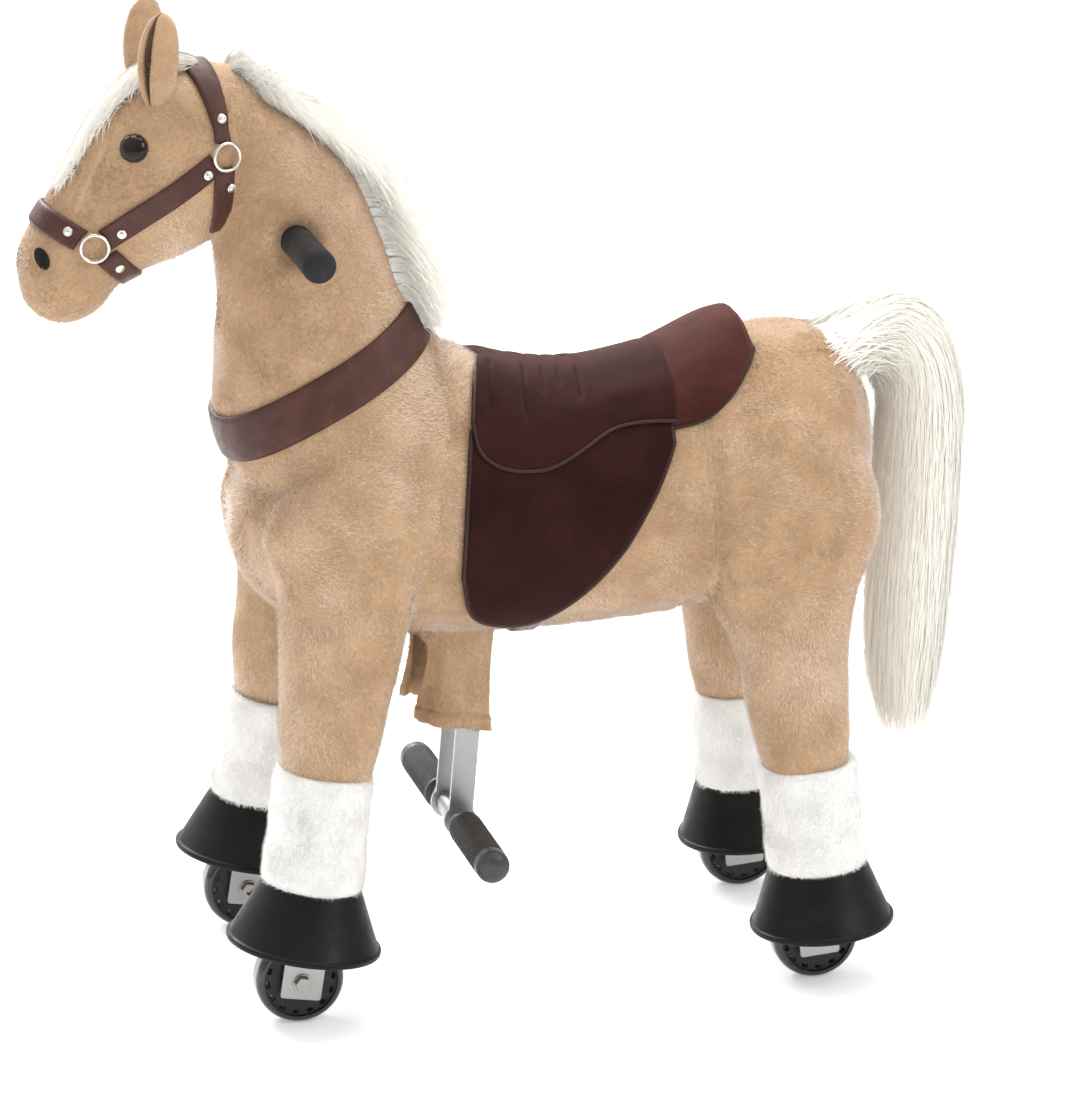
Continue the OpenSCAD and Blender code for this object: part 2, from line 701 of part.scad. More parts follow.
module main_frame() {
    low = spine_z;
    high = seat_z;
    rear = rear_pivot_x + hub_d / 2;
    front_end = [lever_x - spine_reach, 0, low + spine_h / 2];
    rear_end = [rear_pivot_x, 0, low + spine_h / 2];
    color(steel) difference() {
        union() {
            difference() {
                box_of([front_end[0], -spine_w / 2, low], [rear, spine_w / 2, high]);
                box_of([front_end[0] + spine_h, -spine_w / 2 + bar_wall, low + bar_wall],
                    [rear + over, spine_w / 2 - bar_wall, high - bar_wall]);
            }
            at_front() across(hub_d, hub_w);
            at_rear() across(hub_d, hub_w);
            bar_between([front_pivot_x, 0, pivot_z], front_end, strut_d);
            bar_between([rear_pivot_x, 0, pivot_z], rear_end, strut_d);
            on_column() translate([0, 0, -column_foot]) cylinder(d = head_tube_d, h = head_tube_l);
            box_of([lever_x - spine_w / 2, -spine_w / 2, pivot_z - spine_w / 2],
                [lever_x + spine_w / 2, spine_w / 2, low + bar_wall]);
        }
        at_front() across(shaft_d + 2 * run_gap, hub_w + 2 * over);
        at_rear() across(shaft_d + 2 * run_gap, hub_w + 2 * over);
        translate([lever_x, 0, pivot_z]) across(lever_bolt_d + 2 * run_gap, hub_w);
        on_column() translate([0, 0, -column_foot + 2 * column_wall])
            cylinder(d = column_d + 2 * run_gap, h = head_tube_l);
    }
}

module seat_board() {
    color([0.72, 0.58, 0.40]) box_of([seat_board_x - seat_board_l / 2, -seat_board_w / 2, seat_z],
        [seat_board_x + seat_board_l / 2, seat_board_w / 2, seat_z + seat_board_t]);
}

module lever_bolt() {
    head = lever_bolt_d * bolt_head_share;
    color(steel) translate([lever_x, 0, pivot_z]) {
        across(lever_bolt_d, 2 * (lever_plate_out + bolt_head_h));
        for (s = [-1, 1])
            translate([0, s * (lever_plate_out + bolt_head_h / 2 + fit_gap), 0])
                across(head, bolt_head_h);
    }
}

module lever_spacers() {
    color(steel) translate([lever_x, 0, pivot_z]) both() difference() {
        side_bar(lever_bolt_d * spacer_share, spine_w / 2 + fit_gap, lever_plate_in - fit_gap);
        across(lever_bolt_d + 2 * run_gap, far);
    }
}

// Legs

// A leg's plush in its own frame, hanging from the pivot
module leg_form(top_t, low_t, r, drop) {
    rings = concat(
        [for (s = [-1, -0.97, -0.9, -0.75, -0.55, -0.3]) leg_ring(top_t, s, s * r, r)],
        [for (s = [0, 0.1, 0.2, 0.3, 0.4, 0.52, 0.66, 0.8, 0.92, 1]) leg_ring(low_t, s, s * drop, r)]);
    skin(rings);
}

function leg_ring(t, s, d, r) =
    let (mid = leg_inner_y + leg_thick * (leg_mid_share + look(t, s, 3)), hx = r * look(t, s, 1),
         hy = leg_thick / 2 * look(t, s, 2))
    [for (i = [0:ring_n / 2 + 3]) let (a = -360 * i / (ring_n / 2 + 4))
        [hx * bend(cos(a)), max(leg_inner_y, mid + hy * bend(sin(a))), -d]];

// The sloping tube from pivot shaft to hoof
module leg_tube_line(hoof_drop, d) {
    bar_between([0, hip_track / 2, 0], [0, track / 2, -hoof_drop + over], d);
}

module leg_sleeve(head_drop, d, more) {
    translate([0, track / 2, -head_drop]) cylinder(d = d, h = sleeve_l + more);
}

module leg_plush(top_t, low_t, r, hoof_drop, head_drop, sock_l) {
    color(tan_plush) difference() {
        leg_form(top_t, low_t, r, hoof_drop - sock_l - fit_gap);
        side_bar(collar_d + 2 * fit_gap, leg_inner_y - over, shaft_l / 2 + 2 * fit_gap);
        leg_tube_line(head_drop - over, leg_tube_d + 2 * fit_gap);
    }
}

module front_leg_right() {
    on_front() leg_plush(shoulder_shares, front_leg_shares, shoulder_r, front_hoof_drop, front_head_drop,
        front_sock_l);
}

module front_leg_left() {
    mirror([0, 1, 0]) front_leg_right();
}

module rear_leg_right() {
    on_rear() leg_plush(haunch_shares, rear_leg_shares, haunch_r, rear_hoof_drop, rear_head_drop,
        rear_sock_l);
}

module rear_leg_left() {
    mirror([0, 1, 0]) rear_leg_right();
}

// A sock follows the slope of its leg tube
module sock(hoof_drop, l, in_y) {
    n = ring_n / 2 + 4;
    skin([for (k = [0, 0.15, 0.35, 0.6, 0.85, 0.95, 1]) let (r = sock_d / 2 * look(sock_shares, k))
        [for (i = [0:n - 1]) let (a = -360 * i / n)
            [-(hoof_drop - l + (l - fit_gap) * k), in_y + (track / 2 - in_y) * k + r * sin(a),
             -r * cos(a)]]]);
}

module sock_pair(hoof_drop, head_drop, l) {
    in_y = hip_track / 2 + (track - hip_track) / 2 * (hoof_drop - l) / head_drop;
    both() difference() {
        rotate([0, -90, 0]) sock(hoof_drop, l, in_y);
        leg_tube_line(head_drop - over, leg_tube_d + 2 * fit_gap);
        leg_sleeve(head_drop, sleeve_d + 2 * fit_gap, fit_gap + thrust_gap);
    }
}

module front_socks() {
    color(cream) on_front() sock_pair(front_hoof_drop, front_head_drop, front_sock_l);
}

module rear_socks() {
    color(cream) on_rear() sock_pair(rear_hoof_drop, rear_head_drop, rear_sock_l);
}

module hoof_pair(hoof_drop, d) {
    top = -hoof_drop;
    low = -hoof_drop - hoof_h;
    bore = sleeve_d / 2 + swing_gap;
    color(black_rubber) both() translate([0, track / 2, 0]) rotate_extrude() polygon([
        [bore, top], [hoof_top_d / 2 - hoof_lip_t, top], [hoof_top_d / 2, top - hoof_lip_t],
        [d / 2 - 2 * hoof_lip_t, low + hoof_lip_h + hoof_lip_t],
        [d / 2, low + hoof_lip_h], [d / 2, low + hoof_lip_t],
        [d / 2 - hoof_lip_t, low], [d / 2 - hoof_wall - hoof_lip_t, low],
        [hoof_top_d / 2 - hoof_wall + hoof_lip_t, top - hoof_roof], [bore, top - hoof_roof]]);
}

module front_hooves() {
    on_front() hoof_pair(front_hoof_drop, front_hoof_d);
}

module rear_hooves() {
    on_rear() hoof_pair(rear_hoof_drop, rear_hoof_d);
}

module leg_tube_pair(head_drop, bore) {
    sleeve_top_y = track / 2 - (track - hip_track) / 2 * sleeve_l / head_drop;
    color(steel) both() difference() {
        union() {
            leg_tube_line(head_drop - over, leg_tube_d);
            leg_sleeve(head_drop - thrust_gap, sleeve_d, 0);
            side_bar(collar_d, shaft_l / 2 - collar_w, shaft_l / 2);
        }
        side_bar(shaft_d + 2 * run_gap, hip_track / 4, shaft_l);
        bar_between([0, hip_track / 2, 0], [0, sleeve_top_y, sleeve_l - head_drop],
            leg_tube_d - 2 * leg_tube_wall);
        translate([0, track / 2, -head_drop - over])
            cylinder(d = bore, h = kingpin_l + over + thrust_gap);
    }
}

module front_leg_tubes() {
    on_front() leg_tube_pair(front_head_drop, kingpin_d + 2 * run_gap);
}

module rear_leg_tubes() {
    on_rear() leg_tube_pair(rear_head_drop, kingpin_d + 2 * run_gap);
}

// Flat crank with a pin, from the shaft towards a direction
module crank(arm, turn, side) {
    mid = side * (crank_in + crank_out) / 2;
    rotate([0, turn, 0]) {
        translate([0, mid, 0]) across(collar_d, link_t);
        translate([0, mid, -arm]) across(link_w + pin_d / 2, link_t);
        box_of([-link_w / 2, mid - link_t / 2, -arm], [link_w / 2, mid + link_t / 2, 0]);
        translate([0, side * (crank_in + pin_end) / 2, -arm]) across(pin_d, pin_end - crank_in);
    }
}

module front_shaft() {
    color(steel) at_front() {
        across(shaft_d, shaft_l);
        crank(lever_crank, 0, 1);
        crank(gait_crank, 0, -1);
    }
}

module rear_shaft() {
    color(steel) at_rear() {
        across(shaft_d, shaft_l);
        crank(gait_crank, 180, -1);
    }
}

// Wheels and their brackets, in a frame with the axle at the origin

module tyre() {
    rise = (wheel_r - rim_d / 2) * tyre_rise_share;
    run = wheel_w * tyre_run_share;
    arc = [for (i = [0:6]) 90 * i / 6];
    color(black_rubber) rotate([90, 0, 0]) rotate_extrude($fn = 72) polygon(concat(
        [[rim_d / 2, -wheel_w / 2]],
        [for (a = arc) [wheel_r - rise + rise * sin(a), -wheel_w / 2 + run - run * cos(a)]],
        [for (a = arc) [wheel_r - rise + rise * cos(a), wheel_w / 2 - run + run * sin(a)]],
        [[rim_d / 2, wheel_w / 2]]));
}

module wheel_hub() {
    slot_r = (rim_d / 2 + bearing_d) / 2 + slot_w / 2;
    color([0.14, 0.14, 0.15]) difference() {
        across(rim_d - 2 * run_gap, rim_w);
        across(bearing_d, rim_w + over);
        for (i = [0:slot_count - 1])
            rotate([0, 360 * i / slot_count, 0]) translate([0, 0, slot_r])
                for (s = [-1, 1])
                    translate([s * (slot_l - slot_w) / 2, 0, 0]) across(slot_w, rim_w + over);
    }
    color(steel) difference() {
        across(bearing_d - 2 * run_gap, rim_w);
        across(axle_d + 2 * run_gap, rim_w + over);
    }
}

// Bent sheet bracket round a wheel
module bracket(top) {
    difference() {
        union() {
            for (s = [-1, 1])
                translate([0, s * (bracket_in + bracket_out) / 2, 0]) {
                    box_of([-bracket_l / 2, -bracket_t / 2, -bracket_drop + bracket_t],
                        [bracket_l / 2, bracket_t / 2, top + bracket_t]);
                    box_of([-bracket_l / 2 + bracket_t, -bracket_t / 2, -bracket_drop],
                        [bracket_l / 2 - bracket_t, bracket_t / 2, 0]);
                    for (k = [-1, 1])
                        translate([k * (bracket_l / 2 - bracket_t), 0, -bracket_drop + bracket_t])
                            across(2 * bracket_t, bracket_t);
                }
            box_of([-bracket_l / 2, -bracket_out, top], [bracket_l / 2, bracket_out, top + bracket_t]);
        }
        across(axle_d + 2 * run_gap, 2 * bracket_out + over);
    }
}

// Bolt with head, washers and nut, head on the outer side
module axle_bolt(side) {
    end = bracket_out + washer_t + bolt_head_h;
    translate([0, side * bolt_head_h / 2, 0]) across(axle_d, 2 * end - bolt_head_h);
    translate([0, side * (end - bolt_head_h / 2), 0]) rotate([90, 0, 0])
        cylinder(d = bolt_head_d, h = bolt_head_h, center = true, $fn = 6);
    for (s = [-1, 1])
        translate([0, s * (bracket_out + washer_t / 2), 0]) difference() {
            across(washer_d, washer_t - 2 * run_gap);
            across(axle_d + 2 * run_gap, far);
        }
    translate([0, -side * (end - bolt_head_h / 2), 0]) difference() {
        rotate([90, 0, 0]) cylinder(d = bolt_head_d, h = bolt_head_h - fit_gap, center = true, $fn = 6);
        across(axle_d + 2 * run_gap, far);
    }
}

module at_front_axle(side) {
    on_front() translate([0, side * track / 2, -front_axle_drop]) children();
}

module at_rear_axle(side) {
    on_rear() translate([-rear_wheel_shift, side * track / 2, -rear_axle_drop]) children();
}

module fork(side) {
    top = front_axle_drop - front_head_drop - bracket_t;
    color(steel) at_front_axle(side) {
        bracket(top);
        translate([0, 0, top]) cylinder(d = kingpin_d, h = kingpin_l);
    }
}

module fork_left() {
    fork(-1);
}

module fork_right() {
    fork(1);
}

module front_axle_left() {
    color(steel) at_front_axle(-1) axle_bolt(-1);
}

module front_axle_right() {
    color(steel) at_front_axle(1) axle_bolt(1);
}

module rear_brackets() {
    top = rear_axle_drop - rear_head_drop - bracket_t;
    color(steel) for (s = [-1, 1])
        at_rear_axle(s) {
            bracket(top);
            translate([rear_wheel_shift, 0, top]) cylinder(d = kingpin_d, h = kingpin_l);
        }
}

module rear_axles() {
    color(steel) for (s = [-1, 1])
        at_rear_axle(s) axle_bolt(s);
}

module tyre_front_left() {
    at_front_axle(-1) tyre();
}

module tyre_front_right() {
    at_front_axle(1) tyre();
}

module tyre_rear_left() {
    at_rear_axle(-1) tyre();
}

module tyre_rear_right() {
    at_rear_axle(1) tyre();
}

module hub_front_left() {
    at_front_axle(-1) wheel_hub();
}

module hub_front_right() {
    at_front_axle(1) wheel_hub();
}

module hub_rear_left() {
    at_rear_axle(-1) wheel_hub();
}

module hub_rear_right() {
    at_rear_axle(1) wheel_hub();
}

// Footrest arm and links

module lever_plates() {
    half = lever_plate_w / 2;
    color(steel) on_lever() {
        for (s = [-1, 1])
            translate([0, s * (lever_plate_in + lever_plate_out) / 2, 0]) difference() {
                union() {
                    across(lever_plate_w, lever_plate_t);
                    box_of([-half, -lever_plate_t / 2, -lever_l], [half, lever_plate_t / 2, 0]);
                    translate([0, 0, -lever_l]) across(lever_plate_w + lever_plate_t * 2, lever_plate_t);
                }
                across(lever_bolt_d + 2 * run_gap, far);
                translate([0, 0, -lever_l]) across(foot_bar_d + 2 * run_gap, far);
            }
        translate([0, (lever_plate_out + pin_end) / 2, -lever_arm])
            across(pin_d, pin_end - lever_plate_out + over);
    }
}

module foot_bar() {
    l = foot_w - 2 * grip_end_t;
    color(steel) on_lever() translate([0, 0, -lever_l]) difference() {
        across(foot_bar_d, l);
        across(foot_bar_d - 2 * bar_wall, l + over);
    }
}

// Grip with a closed end, from its open end outwards
module end_grip(d, bore, total, l) {
    both() difference() {
        union() {
            side_bar(d, total / 2 - l, total / 2 - grip_end_t / 2);
            side_bar(d - grip_end_t, total / 2 - l, total / 2);
        }
        across(bore + 2 * run_gap, total - 2 * grip_end_t + 2 * run_gap);
    }
}

module foot_grips() {
    color([0.2, 0.2, 0.21]) on_lever() translate([0, 0, -lever_l])
        end_grip(foot_grip_d, foot_bar_d, foot_w, foot_grip_l);
}

// Flat link between two pins; the second eye runs open
module link(a, b, side) {
    v = b - a;
    l = norm(v);
    color(steel) translate([a[0], side * (link_in + link_out) / 2, a[1]])
        rotate([0, -atan2(v[1], v[0]), 0]) difference() {
            union() {
                box_of([0, -link_t / 2, -link_w / 2], [l, link_t / 2, link_w / 2]);
                across(link_w + pin_d / 2, link_t);
                translate([l, 0, 0]) across(link_w + pin_d / 2, link_t);
            }
            across(pin_d + 2 * run_gap, far);
            translate([l, 0, 0]) across(pin_d + 2 * link_gap, far);
        }
}

module lever_link() {
    link([front_pivot_x, pivot_z - lever_crank],
        [lever_x - lever_arm * sin(lever_lean), pivot_z - lever_arm * cos(lever_lean)], 1);
}

module gait_link() {
    link([front_pivot_x, pivot_z - gait_crank], [rear_pivot_x, pivot_z + gait_crank], -1);
}

// Cloth sleeve that hangs round the footrest arm
module belly_sleeve() {
    top = pivot_z - belly_z + girth_t + 3 * neck_gap;
    back = lever_plate_w / 2 + fit_gap + cloth_t + fold_depth * fold_room_share;
    mid = back - cloth_x / 2;
    n = fold_count * 6;
    outer = [for (k = [1, 0.75, 0.5, 0.25, 0]) sleeve_ring(0, mid, top + cloth_z * k, k, n)];
    inner = [for (k = [1, 0.75, 0.5, 0.25, 0]) sleeve_ring(cloth_t, mid, top + cloth_z * k, k, n)];
    color(tan_plush) on_lever() band(outer, inner);
}

function sleeve_ring(inset, mid, d, k, n) =
    [for (i = [0:n - 1]) let (a = 360 * i / n, w = fold_depth / 2 * k * (sin(a * fold_count) - 1))
        [mid + (cloth_x / 2 - inset + w) * sign(cos(a)) * pow(abs(cos(a)), square_share),
         (cloth_y / 2 - inset + w) * sign(sin(a)) * pow(abs(sin(a)), square_share), -d]];

// Steering

module steering_column() {
    foot = -column_foot + 2 * column_wall + fit_gap;
    top = bar_rise + clamp_d / 2 + column_wall;
    color(steel) on_column() difference() {
        union() {
            translate([0, 0, foot]) cylinder(d = column_d, h = top - foot);
            translate([0, 0, bar_rise]) across(clamp_d, clamp_w);
        }
        translate([0, 0, foot - over])
            cylinder(d = column_d - 2 * column_wall, h = bar_rise - clamp_d - foot);
        translate([0, 0, bar_rise]) across(bar_d + 2 * run_gap, far);
    }
}

module handlebar() {
    l = grips_w - 2 * grip_end_t;
    color(steel) on_column() translate([0, 0, bar_rise]) difference() {
        across(bar_d, l);
        across(bar_d - 2 * bar_wall, l + over);
    }
}

module hand_grip() {
    on_column() translate([0, 0, bar_rise]) difference() {
        end_grip(grip_d, bar_d, grips_w, grip_l);
        box_of([-far, -far, -far], [far, 0, far]);
    }
}

module grip_right() {
    color(black_rubber) hand_grip();
}

module grip_left() {
    mirror([0, 1, 0]) grip_right();
}

module neck_plush() {
    top = bar_rise + clamp_d / 2 + column_wall + fit_gap;
    color(tan_plush) difference() {
        neck_form();
        on_column() {
            translate([0, 0, -over]) cylinder(d = column_d + 2 * fit_gap, h = top + over);
            translate([0, 0, bar_rise]) {
                across(clamp_d + 2 * fit_gap, clamp_w + 2 * fit_gap);
                both() side_bar(grip_d + 2 * fit_gap, clamp_w / 2, far);
            }
        }
    }
}

// Head

// Point on the head's side at a place along it and a height towards the jaw
function head_side(x, z, off) = [x, reach(head_at(x / head_l), z) + off, z];
// Direction straight out of the head's side there
function head_out(x, z) =
    let (v = cross(head_side(x, z + over, 0) - head_side(x, z - over, 0),
        head_side(x + over, z, 0) - head_side(x - over, z, 0))) v / norm(v);

module at_eye() {
    st = head_at(eye_along_share);
    place = head_side(st[0], eye_up_share * head_h / 2, -eye_d / 2 * eye_out_share);
    on_head() translate(place) children();
}

module head_plush() {
    color(tan_plush) difference() {
        head_form();
        translate([-fit_gap, 0, fit_gap]) neck_form();
        both() at_eye() sphere(d = eye_d + 2 * fit_gap);
    }
}

module eyes() {
    color([0.06, 0.04, 0.03]) both() at_eye() sphere(d = eye_d);
}

module ear() {
    base = head_side(head_l * ear_along_share, ear_up_share * head_h / 2, 0);
    n = 16;
    difference() {
        on_head() translate(base) rotate([0, head_slope - 180, 0]) translate([0, 0, -ear_t / 2])
            skin([for (k = [1, 0.97, 0.92, 0.83, 0.7, 0.55, 0.4, 0.26, 0.12, 0])
                [for (i = [0:n - 1]) let (a = 360 * i / n, w = ear_w / 2 * look(ear_shares, k),
                    t = ear_t / 2 * look(ear_shares, k))
                    [-w * cos(a), ear_tip_out_share * ear_t * k
                        + t * sin(a) * (1 - ear_cup_share * max(0, sin(a))), k * ear_h]]]);
        translate([0, 0, fit_gap]) head_form();
    }
}

module ears() {
    color(tan_plush) both() ear();
}

// Mane on the crest of the neck, as thick as its shares
module mane() {
    n = 12;
    outer = [for (s = neck_step_shares) if (s > 0)
        let (st = neck_at(s), t = mane_t * look(mane_shares, s))
        [for (i = [0:n])
            let (a = mane_angle + 2 * (270 - mane_angle) * i / n, c = cos(90 * (2 * i / n - 1)),
                p = on_ring(st, a, skin_gap + strap_t + t * mane_spread_share * c))
            [p[0], p[1] * (1 - mane_narrow_share * c), p[2] - t * c]]];
    inner = [for (s = neck_step_shares) if (s > 0)
        [for (i = [0:n]) on_ring(neck_at(s), mane_angle + 2 * (270 - mane_angle) * i / n, skin_gap)]];
    color(cream) difference() {
        on_neck() sheet(outer, inner);
        translate([fit_gap, 0, fit_gap]) head_form();
    }
}

module forelock() {
    n = 8;
    steps = [for (i = [0:n]) i / n];
    function along(k) = forelock_from_share + (forelock_to_share - forelock_from_share) * k;
    function turn(i) = forelock_angle + 2 * (270 - forelock_angle) * i / n;
    color(cream) on_head() sheet(
        [for (k = steps) [for (i = [0:n]) let (c = cos(90 * (2 * i / n - 1)))
            on_ring(head_at(along(k)), turn(i),
                skin_gap + strap_t + forelock_t * look(forelock_shares, k) * c)]],
        [for (k = steps) [for (i = [0:n]) on_ring(head_at(along(k)), turn(i), skin_gap)]]);
}

// Tail

module tail_form() {
    n = 16;
    skin([for (r = tail_shares) let (
        xo = tail_x + tail_reach * r[0], zo = tail_z - tail_drop * r[1],
        xi = tail_x + tail_reach * r[2], zi = tail_z - tail_drop * r[3], w = tail_w / 2 * r[4])
        [for (i = [0:n - 1]) let (a = -360 * i / n, k = (1 + cos(a)) / 2)
            [xi + (xo - xi) * k, w * sin(a), zi + (zo - zi) * k]]]);
}

module tail() {
    color(cream) difference() {
        tail_form();
        translate([fit_gap, 0, fit_gap]) barrel_form();
    }
}

// Tack

module breast_collar() {
    s_low = -(collar_strap_w + neck_gap) / neck_l;
    s_high = -2 * neck_gap / neck_l;
    n = ring_n * 1.5;
    steps = [for (k = [0, 0.33, 0.67, 1]) s_low + (s_high - s_low) * k];
    color(strap_brown) on_neck() band(
        [for (s = steps) ring_of(neck_at(s), n, skin_gap + collar_strap_t)],
        [for (s = steps) ring_of(neck_at(s), n, skin_gap)]);
}

// Ring of the noseband at a shift along the head
function noseband_ring(shift, off, n) =
    [for (i = [0:n - 1]) let (a = 360 * i / n, z = on_ring(head_at(noseband_along_share), a)[2],
        x = head_l * noseband_along_share + noseband_tilt_share * z + shift)
        on_ring(head_at(x / head_l), a, off)];

module noseband() {
    n = ring_n;
    half = strap_w / 2;
    color(strap_brown) on_head() band(
        [for (k = [-1, 0, 1]) noseband_ring(half * k, skin_gap + strap_t, n)],
        [for (k = [-1, 0, 1]) noseband_ring(half * k, skin_gap, n)]);
}

// Strap on the side of the head between two places
module side_strap(x1, z1, x2, z2) {
    v = [x2 - x1, z2 - z1] / norm([x2 - x1, z2 - z1]);
    steps = [for (i = [0:8]) i / 8];
    function row(k, off) = [for (j = [-1, -0.5, 0, 0.5, 1])
        head_side(x1 + (x2 - x1) * k - v[1] * strap_w / 2 * j,
            z1 + (z2 - z1) * k + v[0] * strap_w / 2 * j, off)];
    sheet([for (k = steps) row(k, skin_gap + strap_t)], [for (k = steps) row(k, skin_gap)]);
}

function head_place(p) = [head_l * p[0], head_h / 2 * p[1]];

module cheek_straps() {
    a = head_place(nose_ring_shares);
    b = head_place(cheek_ring_shares);
    c = head_place(throat_end_shares);
    v = (b - a) / norm(b - a);
    w = (c - b) / norm(c - b);
    p = a + v * (strap_w / 2 + strap_t * 2 + 2 * skin_gap);
    q = b - v * ring_d / 2;
    r = b + w * ring_d / 2;
    color(strap_brown) difference() {
        on_head() both() {
            side_strap(p[0], p[1], q[0], q[1]);
            side_strap(r[0], r[1], c[0], c[1]);
        }
        on_neck() skin([for (s = neck_step_shares) ring_of(neck_at(s), ring_n, skin_gap)]);
    }
}

module crown_strap() {
    n = 20;
    half = strap_w / 2;
    function row(shift, off) = [for (i = [0:n]) let (a = 178 + 184 * i / n,
        z = on_ring(head_at(crown_from_share), a)[2],
        x = head_l * crown_from_share + crown_tilt_share * z + shift)
        on_ring(head_at(x / head_l), a, off)];
    color(strap_brown) on_head() sheet(
        [for (k = [-1, 0, 1]) row(half * k, skin_gap + strap_t)],
        [for (k = [-1, 0, 1]) row(half * k, skin_gap)]);
}

module halter_rings() {
    color(steel) on_head() both()
        for (p = [nose_ring_shares, cheek_ring_shares]) {
            c = head_place(p);
            translate(head_side(c[0], c[1], skin_gap + strap_t + ring_wire + ring_lift))
                rotate([90, 0, 0]) rotate_extrude()
                    translate([(ring_d - ring_wire) / 2, 0]) circle(d = ring_wire);
        }
}

module halter_rivets() {
    color(steel) on_head() both()
        for (p = rivet_shares) {
            c = head_place(p);
            at = head_side(c[0], c[1], skin_gap + strap_t);
            out = head_out(c[0], c[1]);
            bar_between(at + out * fit_gap, at + out * (fit_gap + rivet_h), rivet_d);
        }
}

// Saddle

// Angle round the barrel section where a height is met
function edge_angle(st, z, off) =
    let (mid = (st[1] + st[2]) / 2, half = (st[1] - st[2]) / 2 + off, k = max(-1, min(1, (z - mid) / half)))
    asin(sign(k) * pow(abs(k), 1 / round_share));

// Pad over the back between two edges, its front and rear drawn back over the spine
module over_back(x1, l, low_t, thick_t, t, edge_t, front_draw, rear_draw) {
    n = 20;
    steps = [for (i = [0:14]) (1 - cos(180 * i / 14)) / 2];
    function row(k, top) = let (
        first = barrel_at(barrel_share(x1 + l * k)),
        e = edge_angle(first, belly_z + barrel_h * look(low_t, k), saddle_gap))
        [for (i = [0:n])
            let (a = e + (180 - 2 * e) * i / n, c = pow(max(0, sin(180 * i / n)), crown_share),
                draw = front_draw + (rear_draw - front_draw) * k,
                st = barrel_at(barrel_share(x1 + l * k + draw * sin(180 * i / n))))
            on_ring(st, a, saddle_gap + top * (edge_t + (t * look(thick_t, k) - edge_t) * c))];
    sheet([for (k = steps) row(k, 1)], [for (k = steps) row(k, 0)]);
}

module saddle_seat() {
    color(red_brown) difference() {
        over_back(saddle_x + flap_draw, flap_l - flap_draw - fit_gap, seat_low_shares,
            seat_thick_shares, seat_t, flap_t, seat_draw, seat_draw);
        neck_root_room();
    }
}

module saddle_cantle() {
    color(red_brown) over_back(saddle_x + flap_l + fit_gap, cantle_l, cantle_low_shares,
        cantle_thick_shares, cantle_t, flap_t, seat_draw, 0);
}

module saddle_flap() {
    steps = [for (i = [0:20]) (1 - cos(180 * i / 20)) / 2];
    n = 12;
    function along(k, i) = saddle_x + flap_l * k + flap_draw * (1 - k) * pow(i / n, 2);
    function at(k, i) = barrel_at(barrel_share(along(k, i)));
    function row(k, off) = let (
        lo = edge_angle(at(k, 0), belly_z + barrel_h * look(flap_low_shares, k), 0),
        hi = edge_angle(at(k, n), belly_z + barrel_h * look(seat_low_shares, k), 0) - flap_tuck_angle)
        [for (i = [0:n]) on_ring(at(k, i), lo + (hi - lo) * i / n, saddle_gap + off)];
    sheet([for (k = steps) row(k, flap_t)], [for (k = steps) row(k, 0)]);
}

module saddle_flap_right() {
    color(red_brown) difference() {
        saddle_flap();
        neck_root_room();
    }
}

module saddle_flap_left() {
    mirror([0, 1, 0]) saddle_flap_right();
}

module girth() {
    x = saddle_x + flap_l * girth_x_share;
    z = belly_z + barrel_h * look(flap_low_shares, girth_x_share);
    e = edge_angle(barrel_at(barrel_share(x)), z, 0);
    from = 180 - e + girth_tuck_angle;
    span = 180 + 2 * (e - girth_tuck_angle);
    n = 16;
    function row(k, off) = let (st = barrel_at(barrel_share(x + girth_w * k)))
        [for (i = [0:n]) on_ring(st, from + span * i / n, skin_gap + off)];
    color(strap_brown)
        sheet([for (k = [-0.5, 0, 0.5]) row(k, girth_t)], [for (k = [-0.5, 0, 0.5]) row(k, 0)]);
}

main_frame();
seat_board();
lever_bolt();
lever_spacers();
body_plush();
saddle_seat();
saddle_cantle();
saddle_flap_left();
saddle_flap_right();
girth();
breast_collar();
tail();
steering_column();
handlebar();
grip_left();
grip_right();
neck_plush();
head_plush();
ears();
eyes();
mane();
forelock();
noseband();
cheek_straps();
crown_strap();
halter_rings();
halter_rivets();
front_shaft();
front_leg_tubes();
front_leg_left();
front_leg_right();
front_socks();
front_hooves();
fork_left();
fork_right();
front_axle_left();
front_axle_right();
tyre_front_left();
tyre_front_right();
hub_front_left();
hub_front_right();
rear_shaft();
rear_leg_tubes();
rear_leg_left();
rear_leg_right();
rear_socks();
rear_hooves();
rear_brackets();
rear_axles();
tyre_rear_left();
tyre_rear_right();
hub_rear_left();
hub_rear_right();
lever_plates();
foot_bar();
foot_grips();
lever_link();
gait_link();
belly_sleeve();
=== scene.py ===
"""Ride-on plush horse on wheels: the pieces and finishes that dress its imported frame."""

import math

import bpy
import numpy as np
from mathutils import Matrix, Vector


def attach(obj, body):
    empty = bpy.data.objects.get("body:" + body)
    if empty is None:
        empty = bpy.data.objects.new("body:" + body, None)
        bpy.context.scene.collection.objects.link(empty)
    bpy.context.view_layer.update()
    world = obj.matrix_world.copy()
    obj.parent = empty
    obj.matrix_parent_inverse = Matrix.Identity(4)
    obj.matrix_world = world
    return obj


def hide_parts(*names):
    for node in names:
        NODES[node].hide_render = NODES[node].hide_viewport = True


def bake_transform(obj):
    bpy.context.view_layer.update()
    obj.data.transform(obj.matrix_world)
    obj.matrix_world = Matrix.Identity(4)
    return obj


bl_info = {
    "name": "Ride-on Plush Horse",
    "version": (1, 0, 0),
    "blender": (4, 5, 0),
    "location": "View3D > Sidebar > Horse",
    "description": "Dresses the frame of a ride-on plush horse with plush, hair, saddle and tack",
    "category": "Object",
}

